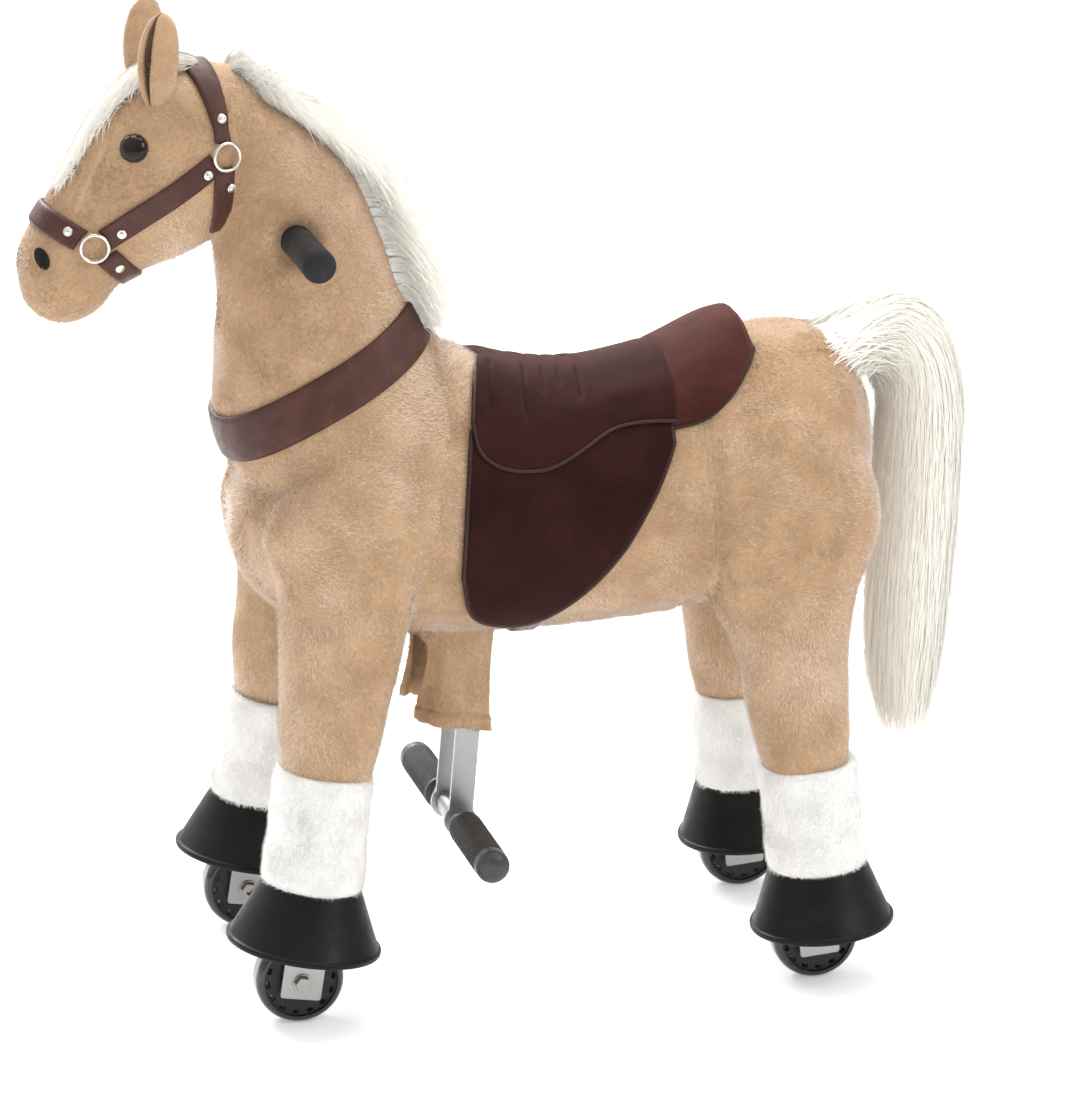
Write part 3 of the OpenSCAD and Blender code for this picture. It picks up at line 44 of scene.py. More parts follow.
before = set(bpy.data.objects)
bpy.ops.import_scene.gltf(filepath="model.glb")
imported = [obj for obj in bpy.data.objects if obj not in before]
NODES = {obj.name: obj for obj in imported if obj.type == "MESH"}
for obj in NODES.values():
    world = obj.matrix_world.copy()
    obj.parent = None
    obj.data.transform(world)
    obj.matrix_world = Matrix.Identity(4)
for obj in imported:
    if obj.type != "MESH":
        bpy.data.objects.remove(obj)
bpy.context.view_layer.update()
MM = 0.001
SEED = 7

# Places and sizes of the part, in millimetres
PIVOT_Z = 430.0
FRONT_X, REAR_X, LEVER_X = -160.0, 235.0, -25.0
FRONT_LEAN, REAR_LEAN, LEVER_LEAN = 9.0, -4.7, 4.9
SHOULDER_R, HAUNCH_R = 72.0, 100.0
LEG_INNER, LEG_THICK, LEG_MID = 60.0, 84.0, 0.3
FRONT_DROP, REAR_DROP = 318.0, 335.0
FRONT_SOCK, REAR_SOCK, SOCK_D = 110.0, 103.0, 93.0
TRACK, HIP_TRACK = 254.0, 172.0
BARREL_X, BARREL_L, BELLY_Z, BARREL_H, BARREL_W = -256.0, 605.0, 320.0, 257.0, 240.0
NECK_AT, NECK_TURN = (-174.5, 0.0, 577.0), -115.2
NECK_L, NECK_H, NECK_W = 262.0, 202.0, 168.0
POLL, HEAD_TURN = (-262.0, 0.0, 790.0), 139.0
HEAD_L, HEAD_H, HEAD_W = 226.0, 148.0, 120.0
BAR_AT = (-200.05, 0.0, 697.05)
SADDLE_X, FLAP_L, FLAP_T, FLAP_DRAW = -66.0, 195.0, 6.0, 14.0
SEAT_STEP, SEAT_DRAW, CANTLE_DRAW, CANTLE_L = 9.0, 34.0, 14.0, 88.0
HOOF_RISE, HOOF_H, HOOF_BORE = 12.0, 46.0, 17.0
FRONT_HOOF_D, REAR_HOOF_D = 140.0, 132.0
FRONT_TUBE, REAR_TUBE = 347.9, 343.6
RUMP_X, RUMP_SHARE = 262.0, 0.84
CHEST, CHEST_FILL, CHEST_R = (236.0, 95.0, 450.0), 10.0, 40.0
NECK_CORNER, CORNER_FILL, CORNER_R = (-62.0, 0.0, 580.0), 9.0, 24.0
SEAM_LAP = 34.0
COLLAR_AT, COLLAR_RISE, COLLAR_HALF, COLLAR_COVER = -24.5, 12.0, 20.4, 21.5
NOSE_RING, CHEEK_RING, THROAT_END = (146.7, -7.4), (9.7, 9.4), (54.0, 57.4)
STRAP_W, THROAT_W, STRAP_T, RING_R, WIRE_R = 20.5, 18.0, 2.6, 12.2, 1.5
EYE_AT, EYE_R, EYE_RIM_R = (62.5, -50.5), 12.0, 13.6
NOSTRIL_AT, NOSTRIL_R, NOSTRIL_TURN = (187.0, -29.5), (5.6, 8.8), 28.0
EAR_L, EAR_HALF, EAR_SLIT, EAR_COLS = 83.0, 17.8, 141.0, 36
TAIL_X, TAIL_L, TAIL_Z, TAIL_DROP, TAIL_HALF = 330.0, 110.0, 602.0, 420.0, 33.0
GRIP_FROM, GRIP_TO, GRIP_DOME, GRIP_R, GRIP_BARE = 50.0, 150.0, 8.0, 14.5, 16.0
PEG_FROM, PEG_TO, PEG_DOME, PEG_R, PEG_DROP = 49.0, 158.0, 9.0, 14.9, 291.0
GIRTH_AT, GIRTH_HALF = 0.36, 11.0
MANE_LONG, MANE_CORE, DOCK_X, DOCK_L = 58.0, 13.0, 284.0, 50.0
SLEEVE_X, SLEEVE_HALF_L, SLEEVE_HALF_W, SLEEVE_TOP, SLEEVE_L, SLEEVE_T = -20.0, 39.0, 51.0, 96.0, 99.0, 3.6
# Power below one that squares the sections a little
ROUND = 0.9

# Counts: locks of hair, points along each, ridges round a peg
MANE_LOCKS, FORELOCK_LOCKS, TAIL_LOCKS, DOCK_LOCKS = 15000, 12000, 13000, 8000
SHORT_STEPS, LONG_STEPS = 6, 8
KNURLS, KNURL_PITCH = 30, 3.4
# Tufts of the short pile: lean from upright in degrees, width in millimetres
TUFT_LEAN, TUFT_W = 55.0, 0.55
# Camera: degrees round and up, metres away, lens, aim in metres
CAMERA_AZ, CAMERA_EL, CAMERA_AWAY, CAMERA_LENS = -13.7, 16.5, 5.2, 187.0
CAMERA_AIM = (0.032, 0.0, 0.383)
FLOOR_HALF, FLOOR_Z = 20000.0, -0.3

# Shares of the stuffed forms: along, above, below, half width
BARREL = np.array([
    [0.000, 0.553, 0.381, 0.250], [0.020, 0.615, 0.253, 0.550], [0.060, 0.689, 0.140, 0.770],
    [0.120, 0.763, 0.070, 0.917], [0.200, 0.860, 0.027, 0.983], [0.310, 0.985, 0.008, 1.000],
    [0.370, 0.972, 0.000, 0.992], [0.450, 0.911, 0.000, 0.983], [0.550, 0.891, 0.008, 0.975],
    [0.650, 0.926, 0.031, 0.975], [0.750, 0.983, 0.070, 1.000], [0.830, 1.018, 0.125, 1.000],
    [0.900, 1.012, 0.218, 0.917], [0.950, 0.945, 0.319, 0.733], [0.985, 0.815, 0.436, 0.450],
    [1.000, 0.690, 0.553, 0.183]])
NECK = np.array([
    [-0.50, 0.80, -0.66, 0.94], [-0.34, 1.05, -0.92, 1.19], [-0.176, 1.08, -0.985, 1.14],
    [0.000, 1.000, -1.000, 1.000], [0.153, 0.790, -0.995, 0.917], [0.290, 0.594, -1.040, 0.820],
    [0.458, 0.416, -1.070, 0.726], [0.573, 0.297, -1.040, 0.680], [0.763, 0.080, -0.850, 0.620],
    [0.916, -0.120, -0.614, 0.524], [1.000, -0.277, -0.455, 0.262]])
HEAD = np.array([
    [-0.265, 0.034, -0.203, 0.33], [-0.133, 0.405, -0.703, 0.67], [0.044, 0.784, -1.041, 0.92],
    [0.279, 0.919, -1.081, 1.00], [0.509, 0.730, -0.892, 0.82], [0.664, 0.568, -0.770, 0.70],
    [0.810, 0.622, -0.622, 0.75], [0.907, 0.554, -0.446, 0.67], [0.969, 0.392, -0.189, 0.43],
    [1.000, 0.162, -0.027, 0.13]])
# Legs: down, half length fore and aft, half width, shift outwards
SHOULDER = np.array([
    [-1.000, 0.140, 0.524, 0.04], [-0.944, 0.333, 0.667, 0.06], [-0.764, 0.639, 0.810, 0.08],
    [-0.417, 0.903, 0.929, 0.08], [0.000, 1.000, 1.000, 0.08]])
FRONT_LEG = np.array([
    [0.000, 1.000, 1.000, 0.08], [0.096, 0.958, 1.024, 0.09], [0.192, 0.847, 1.048, 0.12],
    [0.360, 0.792, 1.095, 0.15], [0.650, 0.694, 1.071, 0.22], [0.843, 0.625, 1.000, 0.28],
    [1.000, 0.583, 0.952, 0.33]])
HAUNCH = np.array([
    [-1.000, 0.120, 0.571, 0.00], [-0.940, 0.340, 0.714, 0.03], [-0.750, 0.660, 0.905, 0.06],
    [-0.400, 0.910, 1.048, 0.08], [0.000, 1.000, 1.119, 0.10]])
REAR_LEG = np.array([
    [0.000, 1.000, 1.119, 0.10], [0.173, 0.910, 1.143, 0.12], [0.302, 0.710, 1.143, 0.14],
    [0.497, 0.560, 1.119, 0.18], [0.734, 0.490, 1.048, 0.24], [1.000, 0.440, 0.976, 0.33]])
# Curves: place along, value there
SOCK = np.array([[0, 0.915], [0.3, 0.93], [0.6, 0.965], [0.85, 1], [1, 0.975]])
FLAP_LOW = np.array([[0, 0.31], [0.04, 0.19], [0.1, 0.125], [0.22, 0.088], [0.34, 0.09], [0.44, 0.128],
                     [0.6, 0.236], [0.75, 0.373], [0.86, 0.508], [0.94, 0.62], [1, 0.715]])
SEAT_LOW = np.array([[0, 0.82], [0.035, 0.745], [0.1, 0.7], [0.18, 0.674], [0.26, 0.664], [0.36, 0.662],
                     [0.45, 0.68], [0.53, 0.706], [0.68, 0.756], [0.83, 0.772], [1, 0.775]])
SEAT_THICK = np.array([[0, 0.4], [0.2, 0.85], [0.5, 0.95], [0.8, 1.1], [1, 1.2]])
CANTLE_LOW = np.array([[0, 0.76], [0.36, 0.79], [0.64, 0.855], [0.82, 0.915], [1, 0.975]])
CANTLE_THICK = np.array([[0, 0.5], [0.3, 0.72], [0.65, 0.98], [0.9, 1.04], [1, 0.95]])
# Creases of the seat: place along, depth, how far down the side
CREASES = ((0.07, 0.8, 0.74), (0.245, 1.0, 0.72), (0.345, 0.7, 0.5), (0.43, 0.65, 0.42), (0.53, 1.0, 0.62))
# Tail rows: outer edge along and down, inner edge along and down, half width
TAIL = np.array([
    [-0.14, 0.130, -0.04, 0.195, 0.24], [0.00, 0.080, 0.055, 0.150, 0.36],
    [0.16, 0.015, 0.16, 0.120, 0.62], [0.45, 0.000, 0.22, 0.135, 0.85],
    [0.74, 0.065, 0.22, 0.185, 0.97], [0.90, 0.195, 0.19, 0.260, 1.00], [0.92, 0.35, 0.165, 0.37, 1.00],
    [0.88, 0.52, 0.14, 0.53, 0.97], [0.82, 0.70, 0.12, 0.70, 0.90], [0.76, 0.86, 0.13, 0.85, 0.76],
    [0.66, 1.000, 0.24, 0.985, 0.45]])
MANE = np.array([[-0.1, 0.35], [0, 0.6], [0.15, 0.92], [0.5, 0.98], [0.8, 0.92], [1, 0.65]])
EAR = np.array([[0, 0.56], [0.2, 0.84], [0.45, 1], [0.7, 0.94], [0.88, 0.7], [0.96, 0.42], [1, 0.12]])
CROWN = np.array([[-90, -29], [-77, -27], [-50, -21.5], [-17, -9], [0, 3.5], [12, 9]])
FACE_SEAM = np.array([[74, -69], [93, -61], [117, -51], [137, -42]])

# Seams of the plush at the shoulder and the haunch: height, place fore and aft
SHOULDER_SEAM = np.array([[305, -118.0], [345, -112.0], [420, -96.0], [490, -79.0], [580, -66.0]])
HAUNCH_SEAM = np.array([[305, 156.0], [335, 159.0], [365, 163.0], [440, 162.0], [500, 158.0], [590, 160.0]])
LEG_TOP_Z = 305.0
# Patches of painted light and shade on the plush, darker on the forehead and under the jaw, lighter where
# light falls on neck, cheek, chest and legs: fore and aft, height, size, share
PAINTED_LIGHT_AND_SHADE = ((-366, 758, 44, -0.5), (-234, 722, 56, -0.45), (-181, 735, 56, 0.42), (-306, 718, 34, 0.3),
       (-88, 543, 56, 0.42), (-254, 431, 72, 0.4), (-215, 268, 48, 0.3), (265, 290, 76, 0.32))
# Pale tone of the tufts that paints light on the plush
PAINTED_LIGHT_TONE = (0.82, 0.66, 0.52)
# Longer pile before the saddle: its middle fore and aft, and the height it starts at
WITHERS = (-62.0, 535.0)


def colour(name, description, default):
    """A property that holds a colour."""
    return bpy.props.FloatVectorProperty(
        name=name, description=description, subtype="COLOR", size=3, default=default, min=0, max=1)


class HorseSizes(bpy.types.PropertyGroup):
    """Sizes and colours that a user of the horse would change."""

    plush_colour: colour("Plush", "Colour of the short plush", (0.565, 0.382, 0.236))
    plush_shade: colour("Plush shade", "Darker tone in the nap of the plush", (0.43, 0.268, 0.152))
    cream_colour: colour("Cream", "Colour of the socks", (0.92, 0.912, 0.895))
    hair_colour: colour("Hair", "Colour of mane, forelock and tail", (0.95, 0.925, 0.86))
    suede_colour: colour("Suede", "Colour of the saddle", (0.033, 0.0092, 0.0072))
    leather_colour: colour("Leather", "Colour of collar and halter", (0.075, 0.025, 0.018))
    pile_length: bpy.props.FloatProperty(
        name="Pile", description="Length of the short plush", default=0.0048, unit="LENGTH", min=0.001)
    pile_density: bpy.props.FloatProperty(
        name="Pile density", description="Tufts on each square millimetre", default=0.62, min=0.01)
    skin_voxel: bpy.props.FloatProperty(
        name="Skin detail", description="Size of the faces of the stuffed skins", default=0.005,
        unit="LENGTH", min=0.002)
    floor_colour: colour("Floor", "Colour of the floor", (0.95, 0.95, 0.95))


# Shapes

def smooth_step(x, lo, hi):
    """Rises from 0 at lo to 1 at hi along 3t^2 - 2t^3."""
    t = np.clip((np.asarray(x, float) - lo) / (hi - lo), 0, 1)
    return t * t * (3 - 2 * t)


def look(table, x, col=1):
    """Smooth value of a column: a cubic through the rows whose slopes are those between their neighbours."""
    t = np.asarray(table, float)
    x = np.clip(np.asarray(x, float), t[0, 0], t[-1, 0])
    rows = np.arange(len(t))
    lo, hi = np.maximum(rows - 1, 0), np.minimum(rows + 1, len(t) - 1)
    slope = (t[hi, col] - t[lo, col]) / (t[hi, 0] - t[lo, 0])
    i = np.clip(np.searchsorted(t[:, 0], x) - 1, 0, len(t) - 2)
    h = t[i + 1, 0] - t[i, 0]
    s = (x - t[i, 0]) / h
    ends = (2 * s**3 - 3 * s**2 + 1) * t[i, col] + (3 * s**2 - 2 * s**3) * t[i + 1, col]
    return ends + (s**3 - 2 * s**2 + s) * h * slope[i] + (s**3 - s**2) * h * slope[i + 1]


def eased(n):
    """Steps from 0 to 1, closer together towards both ends: (1 - cos t) / 2."""
    return (1 - np.cos(np.linspace(0, math.pi, n))) / 2


def bell(x, width):
    """Falls from 1 at nothing along exp(-(x / width)^2)."""
    return np.exp(-((x / width) ** 2))


def bend(v):
    """Squares a circle a little: the sign of v times its size to a power below one."""
    return np.sign(v) * np.abs(v) ** ROUND


def ring(st, a, off=0.0):
    """Points of a section at angle a: along, half width times cos, middle plus half depth times sin."""
    along, above, below, half = st
    y = (half + off) * bend(np.cos(a))
    z = (above + below) / 2 + ((above - below) / 2 + off) * bend(np.sin(a))
    return np.stack(np.broadcast_arrays(along, y, z), -1).astype(float)


def reach(st, z):
    """Half width of a section at a height: the section's equation solved for its width."""
    _, above, below, half = st
    k = np.minimum(1, np.abs(z - (above + below) / 2) / ((above - below) / 2))
    return half * np.maximum(0, 1 - k ** (2 / ROUND)) ** (ROUND / 2)


def barrel_at(x):
    """Section of the barrel at a place fore and aft."""
    s = (np.asarray(x, float) - BARREL_X) / BARREL_L
    return (np.asarray(x, float), BELLY_Z + BARREL_H * look(BARREL, s, 1),
            BELLY_Z + BARREL_H * look(BARREL, s, 2), BARREL_W / 2 * look(BARREL, s, 3))


def neck_at(s):
    """Section of the neck at a share of its length above the joint."""
    return (NECK_L * np.asarray(s, float), NECK_H / 2 * look(NECK, s, 1), NECK_H / 2 * look(NECK, s, 2),
            NECK_W / 2 * look(NECK, s, 3))


def head_at(s):
    """Section of the head at a share of its length from poll to nose."""
    return (HEAD_L * np.asarray(s, float), HEAD_H / 2 * look(HEAD, s, 1), HEAD_H / 2 * look(HEAD, s, 2),
            HEAD_W / 2 * look(HEAD, s, 3))


def cos_sin(degrees):
    """Cosine and sine of an angle in degrees."""
    return math.cos(math.radians(degrees)), math.sin(math.radians(degrees))


def turned(p, degrees, at):
    """Points turned about Y by an angle and set at a place."""
    c, s = cos_sin(degrees)
    return np.stack([at[0] + p[..., 0] * c + p[..., 2] * s, at[1] + p[..., 1],
                     at[2] - p[..., 0] * s + p[..., 2] * c], -1)


def turned_back(p, degrees, at):
    """Undoes turned: how far points lie along a form's own axis, and how far across it."""
    c, s = cos_sin(degrees)
    x, z = p[..., 0] - at[0], p[..., 2] - at[2]
    return x * c - z * s, x * s + z * c


def on_neck(p):
    """Points of the neck's own frame, turned and set on the horse."""
    return turned(p, NECK_TURN, NECK_AT)


def on_head(p):
    """Points of the head's own frame, turned and set on the horse."""
    return turned(p, HEAD_TURN, POLL)


def on_front(p):
    """Points of the front legs' own frame, leaned and set at their pivot."""
    return turned(p, FRONT_LEAN, (FRONT_X, 0, PIVOT_Z))


def on_rear(p):
    """Points of the rear legs' own frame, leaned and set at their pivot."""
    return turned(p, REAR_LEAN, (REAR_X, 0, PIVOT_Z))


def on_lever(p):
    """Points of the footrest arm's own frame, leaned and set at its pivot."""
    return turned(p, LEVER_LEAN, (LEVER_X, 0, PIVOT_Z))


def mirrored(p):
    """The same points on the other side of the horse."""
    return p * np.array([1.0, -1.0, 1.0])


def along_neck(p):
    """How far up the neck a point lies from the joint, and how far towards the throat."""
    return turned_back(p, NECK_TURN, NECK_AT)


def unit(v):
    """Vectors divided by their length."""
    return v / np.maximum(np.linalg.norm(v, axis=-1, keepdims=True), 1e-9)


def beside(n):
    """Two directions square to a direction and to each other, the first of them level."""
    e = unit(np.cross(n, np.array([0.0, 0.0, 1.0])))
    return e, np.cross(n, e)


def grid(m, n, closed=True):
    """Faces of a grid of m rows and n columns, whose last column may join its first."""
    i, j = np.meshgrid(np.arange(m - 1), np.arange(n if closed else n - 1), indexing="ij")
    k = (j + 1) % n
    return np.stack([i * n + j, (i + 1) * n + j, (i + 1) * n + k, i * n + k], -1).reshape(-1, 4)


def wrapped(m, n):
    """Faces of a grid of m rows and n columns whose last row and column both join the first."""
    i, j = np.meshgrid(np.arange(m), np.arange(n), indexing="ij")
    k, l = (i + 1) % m, (j + 1) % n
    return np.stack([i * n + j, k * n + j, k * n + l, i * n + l], -1).reshape(-1, 4)


def outward(verts, faces):
    """Turns faces round where the volume that they enclose comes out below nothing."""
    volume = 0.0
    for f in faces:
        for i in range(1, f.shape[1] - 1):
            a, b, c = verts[f[:, 0]], verts[f[:, i]], verts[f[:, i + 1]]
            volume += float(np.einsum("ij,ij->", a - verts[0], np.cross(b - verts[0], c - verts[0])))
    return faces if volume > 0 else [f[:, ::-1] for f in faces]


def loft(rings):
    """Closed skin over rings of points, with a middle point at each end."""
    m, n = rings.shape[:2]
    verts = np.concatenate([rings.reshape(-1, 3), rings[0].mean(0)[None], rings[-1].mean(0)[None]])
    j = np.arange(n)
    k = (j + 1) % n
    first = np.stack([j, k, np.full(n, m * n)], -1)
    last = np.stack([(m - 1) * n + k, (m - 1) * n + j, np.full(n, m * n + 1)], -1)
    return verts, outward(verts, [grid(m, n), first, last])


def slab(top, low):
    """Closed skin between two grids of points, joined along their four borders."""
    m, n = top.shape[:2]
    verts = np.concatenate([top.reshape(-1, 3), low.reshape(-1, 3)])
    up = grid(m, n, False)
    down = up[:, ::-1] + m * n
    rim = np.concatenate([np.arange(n), np.arange(1, m) * n + n - 1,
                          (m - 1) * n + np.arange(n - 2, -1, -1), np.arange(m - 2, 0, -1) * n])
    nxt = np.roll(rim, -1)
    wall = np.stack([rim, nxt, nxt + m * n, rim + m * n], -1)
    return verts, outward(verts, [np.concatenate([up, down, wall])])


def tube(path, radius, n=8, closed=False, up=(0.0, 0.0, 1.0)):
    """Round cord of a radius along a path: circles square to the path's direction."""
    path = np.asarray(path, float)
    ahead = np.roll(path, -1, 0) - np.roll(path, 1, 0) if closed else np.gradient(path, axis=0)
    t = unit(ahead)
    side = unit(np.cross(t, np.broadcast_to(np.asarray(up, float), t.shape)))
    top = np.cross(side, t)
    a = angles(n)
    r = np.broadcast_to(np.asarray(radius, float), (len(path),))
    rings = path[:, None] + r[:, None, None] * (
        np.cos(a)[None, :, None] * side[:, None] + np.sin(a)[None, :, None] * top[:, None])
    if not closed:
        return loft(rings)
    verts = rings.reshape(-1, 3)
    return verts, outward(verts, [wrapped(len(path), n)])


def spun(profile, n=48):
    """Surface of revolution about Y: a profile of radius and height carried round."""
    a = angles(n)
    r, y = np.asarray(profile, float).T
    return np.stack([r[:, None] * np.sin(a), np.broadcast_to(y[:, None], (len(r), n)),
                     r[:, None] * np.cos(a)], -1)


def together(*shapes):
    """Several shapes as one set of points and faces."""
    verts, faces, start = [], [], 0
    for v, fs in shapes:
        faces += [f + start for f in fs]
        verts.append(v)
        start += len(v)
    return np.concatenate(verts), faces


def other_side(shape):
    """The mirror image of a shape, its faces turned round so that they still point outwards."""
    verts, faces = shape
    return mirrored(verts), [f[:, ::-1] for f in faces]


def both_sides(shape):
    """A shape and its mirror image."""
    return together(shape, other_side(shape))


def quads_of(shape):
    """The faces of a shape that have four corners."""
    return np.concatenate([f for f in shape[1] if f.shape[1] == 4])


def normals_of(verts, quads):
    """Mean direction of the faces round each point, weighted by their area."""
    across = np.cross(verts[quads[:, 2]] - verts[quads[:, 0]], verts[quads[:, 3]] - verts[quads[:, 1]])
    total = np.zeros_like(verts)
    for c in range(4):
        np.add.at(total, quads[:, c], across)
    return unit(total)


def cut(verts, quads, keep):
    """The faces that are kept, with only the points that they use."""
    used, where = np.unique(quads[keep], return_inverse=True)
    return verts[used], where.reshape(-1, 4), used


def wave(p, size, seed):
    """Soft noise between about -1 and 1: eight sine waves of one length in seeded directions."""
    rng = np.random.default_rng(seed)
    k = unit(rng.normal(size=(8, 3))) * 2 * math.pi / size
    phase = rng.uniform(0, 2 * math.pi, 8)
    return np.sin(p @ k.T + phase).sum(-1) / 3.2


def build(name, shape, materials, slots=None, smooth=True):
    """A mesh object at the origin from points in millimetres and faces."""
    verts, faces = shape
    faces = [np.asarray(f, np.int64) for f in faces if len(f)]
    counts = np.concatenate([np.full(len(f), f.shape[1]) for f in faces])
    corners = np.concatenate([f.ravel() for f in faces]).astype(np.int32)
    mesh = bpy.data.meshes.new(name)
    mesh.vertices.add(len(verts))
    mesh.vertices.foreach_set("co", (np.asarray(verts) * MM).astype(np.float32).ravel())
    mesh.loops.add(len(corners))
    mesh.polygons.add(len(counts))
    mesh.polygons.foreach_set("loop_start", (np.cumsum(counts) - counts).astype(np.int32))
    mesh.polygons.foreach_set("vertices", corners)
    mesh.polygons.foreach_set("use_smooth", np.full(len(counts), smooth))
    for m in materials:
        mesh.materials.append(m)
    if slots is not None:
        mesh.polygons.foreach_set("material_index", np.asarray(slots, np.int32))
    mesh.update(calc_edges=True)
    obj = bpy.data.objects.new(name, mesh)
    bpy.context.scene.collection.objects.link(obj)
    return obj


def read_back(obj):
    """Points in millimetres and quads of an object with its modifiers applied."""
    dg = bpy.context.evaluated_depsgraph_get()
    mesh = obj.evaluated_get(dg).to_mesh()
    verts = np.zeros(len(mesh.vertices) * 3, np.float32)
    mesh.vertices.foreach_get("co", verts)
    corners = np.zeros(len(mesh.loops), np.int32)
    mesh.loops.foreach_get("vertex_index", corners)
    if len(corners) != 4 * len(mesh.polygons):
        raise RuntimeError(f"{obj.name} has faces with other than four corners")
    obj.to_mesh_clear()
    return verts.reshape(-1, 3).astype(float) / MM, corners.reshape(-1, 4).astype(np.int64)


def fused(solids, voxel, rounds):
    """One skin over overlapping closed forms: a voxel remesh, then smoothing."""
    obj = build("fusing", together(*solids), [])
    remesh = obj.modifiers.new("remesh", "REMESH")
    remesh.mode = "VOXEL"
    remesh.voxel_size = voxel
    soften = obj.modifiers.new("soften", "SMOOTH")
    soften.factor = 0.5
    soften.iterations = rounds
    shape = read_back(obj)
    mesh = obj.data
    bpy.data.objects.remove(obj)
    bpy.data.meshes.remove(mesh)
    return shape


# Finishes

class Value:
    """A socket of a node tree whose arithmetic adds Math nodes."""

    def __init__(self, finish, socket):
        self.finish = finish
        self.socket = socket

    def _math(self, operation, a, b):
        """A Math node of an operation on two values."""
        return self.finish.node("ShaderNodeMath", {"operation": operation}, {0: a, 1: b})

    def __add__(self, other):
        return self._math("ADD", self, other)

    def __radd__(self, other):
        return self._math("ADD", other, self)

    def __mul__(self, other):
        return self._math("MULTIPLY", self, other)

    def __rmul__(self, other):
        return self._math("MULTIPLY", other, self)


class Finish:
    """A material made of one Principled shader and the nodes that feed it."""

    def __init__(self, name):
        self.material = bpy.data.materials.new(name)
        self.material.use_nodes = True
        self.tree = self.material.node_tree
        self.shader = self.tree.nodes["Principled BSDF"]
        self.place = self.tree.nodes.new("ShaderNodeTexCoord").outputs["Object"]

    def link(self, socket, value):
        """Sets a socket to a value, or links the value's own socket to it."""
        if isinstance(value, Value):
            self.tree.links.new(value.socket, socket)
        elif isinstance(value, bpy.types.NodeSocket):
            self.tree.links.new(value, socket)
        else:
            socket.default_value = value

    def node(self, kind, settings, inputs, output=0):
        """A node of a type, its settings first and then its sockets' values or links."""
        made = self.tree.nodes.new(kind)
        for key, value in settings.items():
            setattr(made, key, value)
        for key, value in inputs.items():
            self.link(made.inputs[key], value)
        return Value(self, made.outputs[output])

    def stretched(self, x, y, z):
        """Object coordinates times a size for each axis."""
        return self.node("ShaderNodeMapping", {}, {"Vector": self.place, "Scale": (x, y, z)}).socket

    def noise(self, scale, detail=3.0, rough=0.55, at=None):
        """Noise of a scale on Object coordinates, or on others."""
        sockets = {"Vector": at or self.place, "Scale": scale, "Detail": detail, "Roughness": rough}
        return self.node("ShaderNodeTexNoise", {}, sockets, "Fac")

    def cells(self, scale):
        """Distance to the nearest edge between random cells."""
        return self.node("ShaderNodeTexVoronoi", {"feature": "DISTANCE_TO_EDGE"},
                         {"Vector": self.place, "Scale": scale}, "Distance")

    def ranged(self, value, lo, hi, to_lo=0.0, to_hi=1.0):
        """A value's range carried onto another along 3t^2 - 2t^3."""
        return self.node("ShaderNodeMapRange", {"interpolation_type": "SMOOTHSTEP"},
                         {"Value": value, "From Min": lo, "From Max": hi, "To Min": to_lo, "To Max": to_hi})

    def mix(self, share, a, b):
        """A colour between two, at a share."""
        colours = {k: (*v[:3], 1.0) if isinstance(v, (tuple, list)) else v for k, v in ((6, a), (7, b))}
        return self.node("ShaderNodeMix", {"data_type": "RGBA"}, {0: share, **colours}, 2)

    def bump(self, height, distance, strength=1.0):
        """A normal from a height."""
        return self.node("ShaderNodeBump", {}, {"Height": height, "Distance": distance, "Strength": strength},
                         "Normal")

    def done(self, colour, rough, normal=None, **constants):
        """Feeds the shader, with constants on its own sockets."""
        self.link(self.shader.inputs["Base Color"], (*colour, 1.0) if isinstance(colour, tuple) else colour)
        self.link(self.shader.inputs["Roughness"], rough)
        if normal is not None:
            self.link(self.shader.inputs["Normal"], normal)
        for key, value in constants.items():
            self.shader.inputs[key.replace("_", " ")].default_value = value
        return self.material


def shade(colour, share):
    """A colour times a share, with no channel past one."""
    return tuple(min(1.0, c * share) for c in colour)


def plush_skin(name, light, dark):
    """Woven ground of a plush: soft patches where the nap lies differently, and a fine grain."""
    f = Finish(name)
    patches = f.ranged(f.noise(26, 4), 0.38, 0.64)
    grain = f.noise(420, 2)
    colour = f.mix(patches * 0.55 + grain * 0.45, dark, light)
    height = f.noise(650, 2) * 0.7 + f.noise(90, 3) * 0.8
    return f.done(colour, 0.95, f.bump(height, 0.0016, 0.6), Sheen_Weight=0.25, Sheen_Roughness=0.5,
                  Specular_IOR_Level=0.1)


def pile_tones(name, light, dark, count, painted_glow=0.0):
    """Tones of the tufts in even steps from dark to light, with a painted glow: emission that stands in for
    the light that pale hair passes on.
    """
    tones = []
    for i in range(count):
        k = i / (count - 1)
        tone = tuple(d + (l - d) * k for d, l in zip(dark, light))
        f = Finish(f"{name}_{i}")
        tones.append(f.done(tone, 0.9, None, Sheen_Weight=0.7, Sheen_Roughness=0.4, Specular_IOR_Level=0.12,
                            Emission_Color=(*tone, 1.0), Emission_Strength=painted_glow))
    return tones


def suede(name, colour):
    """Brushed suede: short nap in soft patches with a fine grain."""
    f = Finish(name)
    patches = f.noise(22, 4)
    grain = f.noise(900, 2)
    c = f.mix(f.ranged(patches * 0.6 + grain * 0.4, 0.35, 0.65), shade(colour, 0.78), shade(colour, 1.35))
    height = grain * 0.6 + f.noise(240, 3) * 0.6
    return f.done(c, 0.86, f.bump(height, 0.0006, 0.5), Sheen_Weight=0.2, Sheen_Roughness=0.35,
                  Sheen_Tint=(0.9, 0.5, 0.45, 1.0), Specular_IOR_Level=0.12)


